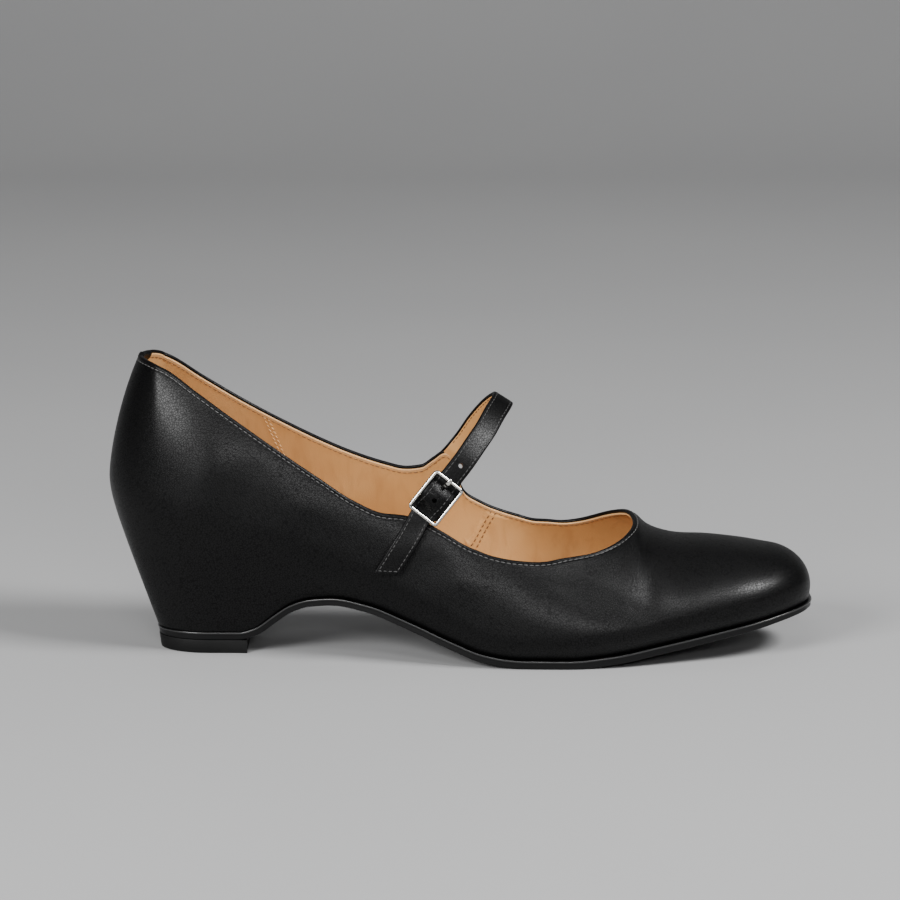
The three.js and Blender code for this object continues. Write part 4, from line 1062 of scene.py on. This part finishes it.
def sweep_strap(name, section, material, start, end, stitch_dent=0.0, shrink=0.45, crown=0.0):
    stations = np.concatenate([np.arange(start, end - 0.9, 0.6), [end - 0.55, end - 0.3, end - 0.12, end]])
    rows = []
    for mm in stations:
        p, t, w, n = strap_frame(mm)
        sec = section.copy()
        half = np.abs(sec[:, 0]).max()
        sec[:, 1] += np.where(sec[:, 1] > 0, crown * swell(mm) * (1 - (sec[:, 0] / half) ** 2), 0)
        if stitch_dent:
            rows_at = np.abs(np.abs(sec[:, 0]) - (STRAP_WIDTH / 2 - 1.15))
            sec[:, 1] -= np.where(sec[:, 1] > 0, stitch_dent * bump_at(rows_at, 0, 0.35), 0)
        sec[:, 0] *= 1 + spread_by(mm) * np.where(sec[:, 0] * w[0] > 0, RAIL_SIDE, LEFT_SIDE) / half
        left = end - mm
        if left < shrink:
            k = 1 - math.sqrt(max(1 - (1 - left / shrink) ** 2, 0))
            sec = sec * np.array([1 - k * shrink / (STRAP_WIDTH / 2), 1 - k * 0.45])
        rows.append([p + w * a + n * b - t * a * slanted(mm) for a, b in sec])
    return make(name, np.array(rows), capped(len(rows), len(section)), material)


def hole_places():
    """Place and width of each hole; k = 1 is the one the prong stands in."""
    return [(AT_BUCKLE + HOLE_FIRST - k * HOLE_PITCH + (WORN_HOLE_SHIFT if k == 1 else 0), HOLE)
            for k in range(3)]


def punch(piece, wider=0.0):
    """Cuts the strap's round holes through a piece; inside the buckle they may be wider."""
    for k, (mm, size) in enumerate(hole_places()):
        p, t, w, n = strap_frame(mm)
        a = np.linspace(0, 2 * math.pi, 24, endpoint=False)
        ring = [p + (t * math.cos(q) + w * math.sin(q)) * (size / 2 + (wider if k < 2 else 0)) for q in a]
        points = np.array([r - n * 3 for r in ring] + [r + n * 3 for r in ring])
        cutter = make(f"punch_{k}", points, capped(2, 24), BLACK_THREAD)
        weld(cutter, 1e-7)
        cut = piece.modifiers.new("hole", "BOOLEAN")
        cut.operation, cut.solver, cut.object = "DIFFERENCE", "EXACT", cutter
        deps = bpy.context.evaluated_depsgraph_get()
        deps.update()
        fresh = bpy.data.meshes.new_from_object(piece.evaluated_get(deps))
        piece.modifiers.remove(cut)
        piece.data = fresh
        bpy.data.objects.remove(cutter)
    fresh.polygons.foreach_set("use_smooth", [True] * len(fresh.polygons))
    flat_ends(piece, 0.9)


def build_strap():
    black = sweep_strap("strap_leather", strap_section(STRAP_WIDTH, -STRAP / 2 + 0.12, STRAP / 2, 0.55, crown=0.1),
                        STRAP_LEATHER, STRAP_START, STRAP_LENGTH, 0.1, crown=PILLOW)
    weld(black, 1e-7)
    punch(black)
    tan = sweep_strap("strap_lining", strap_section(STRAP_WIDTH - 1.5, -STRAP / 2, -STRAP / 2 + 0.5, 0.2),
                      LINING, STRAP_START, STRAP_LENGTH - 0.6)
    weld(tan, 1e-7)
    punch(tan, 1.0)
    # A thin disc of black leather sits under each of the first two holes, in the lining's widened holes. It is
    # painted shade: a dark sheet that makes these holes read dark instead of showing the tan lining.
    ring = [(math.cos(q), math.sin(q)) for q in np.linspace(0, 2 * math.pi, 25)[:-1]]
    rows, faces = [], []
    for k in range(2):
        p, t, w, n = strap_frame(hole_places()[k][0])
        rows += [[p + (t * a + w * b) * 1.6 + n * out for a, b in ring] for out in (-0.75, -0.6)]
        faces += capped(2, 24, 48 * k)
    hole_shade_disc = make("hole_backing", np.array(rows), faces, STRAP_LEATHER)
    weld(hole_shade_disc, 1e-7)
    return black, tan, hole_shade_disc


def strap_stitch_lines(out, edge, start):
    """Stitch lines along both edges of the strap and across its free end."""
    end = STRAP_LENGTH - 1.3
    across = STRAP_WIDTH / 2 - edge

    def at(mm, a):
        p, t, w, n = strap_frame(mm)
        a = a * (1 + spread_by(mm) / (STRAP_WIDTH / 2))
        rise_up = PILLOW * swell(mm) * (1 - (a / (STRAP_WIDTH / 2 + STRAP_SWELL)) ** 2) if out > 0 else 0.0
        return p + w * a + n * (out + rise_up) - t * a * slanted(mm)

    stations = np.arange(start, end, 0.5)
    first = [at(mm, -across) for mm in stations]
    turn = [at(end, a) for a in np.linspace(-across, across, 12)]
    back = [at(mm, across) for mm in stations[::-1]]
    return [first + turn + back]


# ---------------------------------------------------------------- buckle
HUB = strap_frame(AT_BUCKLE, lifted=False)
FRAME_UP = STRAP / 2 + GAP + BAR
PIN_UP = STRAP_RISE - STRAP / 2 - 0.25 - (PIN + PIN_ROOM + TAB)
REACH = BUCKLE_LONG / 2 - BAR
SPREAD = (STRAP_WIDTH + 2 * SIDE_ROOM + 4 * BAR) / 2 - BAR


def in_buckle(along, across, out):
    p, t, w, n = HUB
    return p - t * along + w * across + n * out


def tube_along(line, radii, sides, closed, facing):
    """Rings round a line; radii are (across, out) half thicknesses."""
    line = np.asarray(line)
    count = len(line)
    rows = []
    for k in range(count):
        before = line[(k - 1) % count] if closed else line[max(k - 1, 0)]
        after = line[(k + 1) % count] if closed else line[min(k + 1, count - 1)]
        t = unit(after - before)
        a = unit(facing - t * np.dot(facing, t))
        b = np.cross(t, a)
        ra, rb = radii[k] if np.ndim(radii[0]) else radii
        q = 2 * math.pi * (np.arange(sides) + 0.5) / sides
        squash = 2.1
        ca = np.sign(np.cos(q)) * np.abs(np.cos(q)) ** (2 / squash)
        cb = np.sign(np.sin(q)) * np.abs(np.sin(q)) ** (2 / squash)
        rows.append(line[k] + a * (rb * ca)[:, None] + b * (ra * cb)[:, None])
    return rows


def build_buckle(material):
    """Frame and centre bar: a rounded rectangle of wire, with short posts down to a bar under the strap."""
    path = []

    def up(a):
        return FRAME_UP - RAIL_DIP * (1 - min(abs(a) / REACH, 1) ** 2)

    def corner(cx, cy, start):
        for k in range(9):
            a = math.radians(start + 90 * k / 8)
            path.append([cx + CORNER * math.cos(a), cy + CORNER * math.sin(a)])

    spread = SPREAD + RAIL_OUT
    rail = np.linspace(REACH - CORNER, -REACH + CORNER, 22)[1:-1]
    end = np.linspace(spread - CORNER, -spread + CORNER, 12)[1:-1]
    corner(REACH - CORNER, spread - CORNER, 0)
    path += [[a, spread] for a in rail]
    corner(-REACH + CORNER, spread - CORNER, 90)
    path += [[-REACH, c] for c in end]
    corner(-REACH + CORNER, -spread + CORNER, 180)
    path += [[-a, -spread] for a in rail]
    corner(REACH - CORNER, -spread + CORNER, 270)
    path += [[REACH, -c] for c in end]
    line = [in_buckle(a, b, up(a)) for a, b in path]
    sides = 20
    rows = tube_along(line, (RAIL, BAR), sides, True, HUB[3])
    rows.append(rows[0])
    faces = band_faces(len(rows), sides)
    start = len(rows) * sides
    post = [(spread, FRAME_UP - RAIL_DIP), (spread - 0.15, PIN_UP + 0.9), (spread - 0.45, PIN_UP + 0.2)]
    post.append((spread - 1, PIN_UP))
    bar_line = [in_buckle(0, -c, z) for c, z in post] + [in_buckle(0, c, PIN_UP) for c in (-3, -1.5, 0, 1.5, 3)]
    bar_line += [in_buckle(0, c, z) for c, z in post[::-1]]
    bar = tube_along(bar_line, (PIN, PIN), 16, False, HUB[3])
    faces += band_faces(len(bar), 16, start=start)
    points = np.concatenate([np.array(rows).reshape(-1, 3), np.array(bar).reshape(-1, 3)])
    piece = make("buckle", points, faces, material)
    weld(piece, 1e-7)
    return piece


def build_prong(material):
    """The prong: forward under the strap, up through its hole, over the top bar."""
    worn = math.hypot(PRONG_WIDE, PRONG_THICK) + PRONG_ROOM
    up = HOLE_PITCH - HOLE_FIRST - (worn - PRONG_THICK) / 2 + 0.5 * PRONG_THICK - WORN_SHIFT
    clear = BAR + 0.64 * PRONG_THICK
    top = FRAME_UP + BAR + PRONG_THICK * 0.7
    knots = np.array([
        [1.75 * PIN, PIN_UP],
        [up - 2.1 * PRONG_THICK, PIN_UP - 0.8 * PRONG_THICK],
        [up - 0.9 * PRONG_THICK, PIN_UP - 0.95 * PRONG_THICK],
        [up - 0.15 * PRONG_THICK, PIN_UP - 0.35 * PRONG_THICK],
        [up, PIN_UP + 0.55 * PRONG_THICK],
        [up + 0.05 * PRONG_THICK, 0.3 * STRAP],
        [up + 0.3 * PRONG_THICK, STRAP / 2 + 0.6 * PRONG_THICK],
        [up + 0.9 * PRONG_THICK, STRAP / 2 + 1.15 * PRONG_THICK],
        [REACH - 0.85 * clear, FRAME_UP + 0.8 * clear],
        [REACH - 0.2 * clear, top],
        [REACH + 1.1 * PRONG_THICK, top],
    ])
    line2, _ = centripetal(np.column_stack([knots, np.zeros(len(knots))]), 8)
    line = [in_buckle(a, 0, b) for a, b, _ in line2]
    last = len(line) - 1
    radii = []
    for k in range(len(line)):
        blunt = max(0.0, 1 - (last - k) / 4)
        s = math.sqrt(max(1 - blunt * blunt, 0.02))
        radii.append((0.62 * PRONG_WIDE * s, PRONG_THICK / 2 * s))
    rows = tube_along(line, radii, 14, False, HUB[3])
    faces = capped(len(rows), 14)
    ring_line = []
    for q in np.linspace(0, 2 * math.pi, 25)[:-1]:
        r = PIN + PIN_ROOM + 0.3
        ring_line.append(in_buckle(r * math.cos(q), 0, PIN_UP + r * math.sin(q)))
    side_way = HUB[2]
    ring_rows = tube_along(ring_line, (0.3, PRONG_WIDE / 2), 10, True, side_way)
    ring_rows.append(ring_rows[0])
    start = len(rows) * 14
    faces += band_faces(len(ring_rows), 10, start=start)
    points = np.concatenate([np.array(rows).reshape(-1, 3), np.array(ring_rows).reshape(-1, 3)])
    piece = make("prong", points, faces, material)
    weld(piece, 1e-7)
    return piece


# ---------------------------------------------------------------- small pieces at the collar
def build_back_tab(material):
    """A small piece folded over the collar at the middle of the heel."""
    reach, outside, inside, thick = 9.5, 1.5, 5.0, 0.12
    run = np.concatenate([[0], np.cumsum(np.linalg.norm(np.diff(WALL_DOWN[0], axis=0), axis=1))])
    total = run[-1] + np.linalg.norm(WALL_DOWN[0][0] - WALL_DOWN[0][-1])
    steps = np.linspace(-1, 1, 33)
    down_out = np.linspace(outside, FOLD, 22)
    down_in = np.linspace(1.3, inside, 16)
    turns = np.linspace(0, math.pi, 9)[1:-1]
    rows = []

    def width(d, limit):
        corner = 0.6 * limit
        return reach * math.sqrt(max(1 - max(0.0, (d - limit + corner) / corner) ** 2, 0.0))

    def ring_place(s):
        s = s % total
        return float(np.interp(s, np.append(run, total), np.arange(RING + 1)))

    def normal_at(j, row):
        j0 = int(j) % RING
        return unit(NORMAL_DOWN[row, j0] * (1 - j % 1) + NORMAL_DOWN[row, (j0 + 1) % RING] * (j % 1))

    def crown(v):
        return thick * (1 - 0.55 * smooth(0.86, 1.0, abs(v)))

    for d in down_out:
        w = max(width(d, outside), 0.5)
        edge = 1 - 1.1 * smooth(outside - 2.6, outside, d)
        row = []
        for v in steps:
            j = ring_place(v * w)
            row.append(outer_point(j, d) + normal_at(j, row_at(j, d)) * crown(v) * edge)
        rows.append(row)
    for a in turns:
        row = []
        for v in steps:
            j = ring_place(v * reach)
            n = normal_at(j, 0)
            j0 = int(j) % RING
            u = RIM_UP[j0]
            c = outer_point(j, FOLD) - n * 0.95
            r = 0.95 + crown(v)
            row.append(c + n * r * math.cos(a) + u * (FOLD + crown(v)) * math.sin(a))
        rows.append(row)
    for d in down_in:
        w = max(width(d, inside), 0.5)
        edge = 1 - 0.8 * smooth(inside - 0.5, inside, d)
        row = []
        for v in steps:
            j = ring_place(v * w)
            row.append(lining_point(j, d) - normal_at(j, row_at(j, d)) * (0.1 + crown(v) * 0.7 * edge))
        rows.append(row)
    grid = np.array(rows)
    piece = make("back_tab", grid, band_faces(len(rows), len(steps), closed=False), material)
    return piece


def collar_line(surface, down):
    """A line round the whole collar, this far below its edge and a little sunk into the leather."""
    places = np.arange(RING)
    points = surface(places, down)
    for j in places:
        points[j] -= NORMAL_DOWN[row_at(j, down), j] * STITCH_SUNK
    return points


def seam_line(seam, side, offset):
    """A line down the lining from the collar, beside the middle of a seam."""
    x_top, x_low, low = seam
    out = []
    places = np.arange(len(COLUMN)) if side < 0 else RING - np.arange(len(COLUMN))
    for t in np.linspace(0, 1, 40):
        d = SEAM_TOP + (low - SEAM_TOP) * t
        across = [np.interp(d, DEPTH[:, j % RING], LINING_FACE[:, j % RING, 0]) for j in places]
        j = float(np.interp(x_top + (x_low - x_top) * t + offset, across, places))
        out.append(lining_point(j, d) - NORMAL_DOWN[row_at(j, d), int(j) % RING] * SEAM_PROUD)
    return np.array(out)


def finish_node(name, material):
    """Gives a solid that is shown as it is a material of its own."""
    NODES[name].data.materials.clear()
    NODES[name].data.materials.append(material)


def dress():
    upper = build_upper(LEATHER)
    lining = build_lining(LINING, LINING_EDGE)
    outsole = build_outsole(SOLE_EDGE, SOLE_LIP)
    top_piece = build_top_piece(RUBBER)
    insole = build_insole(LINING)
    strap, strap_back, hole_shade_disc = build_strap()
    buckle = build_buckle(METAL)
    prong = build_prong(METAL)
    back_tab = build_back_tab(STRAP_LEATHER)

    collar = stitches("collar_stitches", [collar_line(outer_point, STITCH_IN)], BLACK_THREAD, 2.0, 1.6, 0.2)
    inside = stitches("lining_stitches", [collar_line(lining_point, STITCH_IN + 0.6)], TAN_THREAD, 2.0, 1.55, 0.19)
    pale, dark = [], []
    for seam, side, rows in ((FRONT_SEAM, INNER_SIDE, dark), (FRONT_SEAM_OUTER, OUTER_SIDE, dark),
                             (BACK_SEAM, INNER_SIDE, pale), (BACK_SEAM, OUTER_SIDE, pale)):
        for offset in SEAM_ROWS:
            rows.append(seam_line(seam, side, offset))
    seam_stitches = stitches("seam_stitches", dark, TAN_THREAD, 1.9, 1.4, 0.2, seed=3)
    back_seam = stitches("back_seam_stitches", pale, PALE_THREAD, 1.7, 1.4, 0.2, slant=0.5, seed=4)
    strap_top = stitches("strap_stitches", strap_stitch_lines(STRAP / 2 + 0.02, 1.15, 5.0), STRAP_THREAD,
                         1.75, 1.35, 0.17, seed=5)
    strap_under = stitches("strap_back_stitches", strap_stitch_lines(-STRAP / 2 - 0.02, 1.2, 3.0), TAN_THREAD,
                           1.75, 1.35, 0.15, seed=6)

    finish_node("heel", BLOCK)
    finish_node("buckle_tab", STRAP_LEATHER)
    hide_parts("upper")
    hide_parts("outsole")
    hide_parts("top_piece")
    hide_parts("insole")
    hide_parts("strap")
    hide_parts("buckle_frame")
    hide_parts("buckle_prong")
    slots = {
        "upper_leather": (upper, strap, hole_shade_disc, back_tab, collar, strap_top),
        "lining_leather": (lining, insole, strap_back, inside, seam_stitches, back_seam, strap_under),
        "sole_rubber": (outsole, top_piece),
        "buckle_metal": (buckle, prong),
    }
    for slot, pieces in slots.items():
        for piece in pieces:
            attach(piece, "root")


# ---------------------------------------------------------------- studio
def camera():
    """The photograph's view: square on to the outer side, from a little above."""
    elevation, distance = math.radians(11.8), 1.406
    target = Vector((-0.004, 0.0018, 0.070))
    data = bpy.data.cameras.new("camera")
    data.lens, data.sensor_width = 160.8, 36
    data.clip_start, data.clip_end = 0.05, 50
    eye = bpy.data.objects.new("camera", data)
    eye.location = target + distance * Vector((0, -math.cos(elevation), math.sin(elevation)))
    eye.rotation_euler = (math.radians(90) - elevation, 0, 0)
    bpy.context.scene.collection.objects.link(eye)
    bpy.context.scene.camera = eye


def softbox(name, place, aim, size, power, colour=(1, 1, 1)):
    data = bpy.data.lights.new(name, "AREA")
    data.shape = "RECTANGLE"
    data.size, data.size_y = size
    data.energy = power
    data.color = colour
    light = bpy.data.objects.new(name, data)
    light.location = place
    light.rotation_euler = (Vector(aim) - Vector(place)).to_track_quat("-Z", "Y").to_euler()
    bpy.context.scene.collection.objects.link(light)


def floor_paint(where):
    cloud = noise(where, 3, 2)
    return {"Base_Color": mix_colour(cloud, (0.3, 0.3, 0.304), (0.33, 0.33, 0.33)), "Roughness": 0.6 + cloud * 0.1}


def studio():
    world = bpy.data.worlds.new("studio")
    bpy.context.scene.world = world
    world.use_nodes = True
    world.node_tree.nodes["Background"].inputs[0].default_value = (0.8, 0.81, 0.83, 1)
    world.node_tree.nodes["Background"].inputs[1].default_value = 0.09
    sweep = []
    for k in range(25):
        a = math.radians(90 * k / 24)
        sweep.append([1.2 + 0.9 * math.sin(a), 0.9 - 0.9 * math.cos(a)])
    profile = [[-3.0, 0.0]] + sweep + [[2.1, 4.0]]
    points = []
    for x in (-4.0, 4.0):
        points += [[x * 1000 + ORIGIN[0], y * 1000 + ORIGIN[1], z * 1000] for y, z in profile]
    n = len(profile)
    faces = [[k, n + k, n + k + 1, k + 1] for k in range(n - 1)]
    paper = new_material("pale_paper", floor_paint)
    floor = make("studio_floor", points, faces, paper)
    softbox("key_right", (1.02, -0.6, 1.18), (0.02, 0.0, 0.04), (0.52, 0.46), 42)
    softbox("fill_left", (-0.95, -1.2, 0.8), (-0.06, 0.0, 0.05), (0.66, 0.56), 36)
    softbox("front_above", (-0.25, -1.0, 1.25), (0.0, 0.0, 0.03), (0.7, 0.3), 6)
    softbox("quarter_band", (0.14, -1.58, 0.62), (-0.05, 0.0, 0.05), (0.36, 0.16), 6)
    softbox("overhead", (0.0, 0.3, 1.9), (0.0, 0.1, 0.0), (2.2, 1.8), 6)


camera()
studio()
dress()
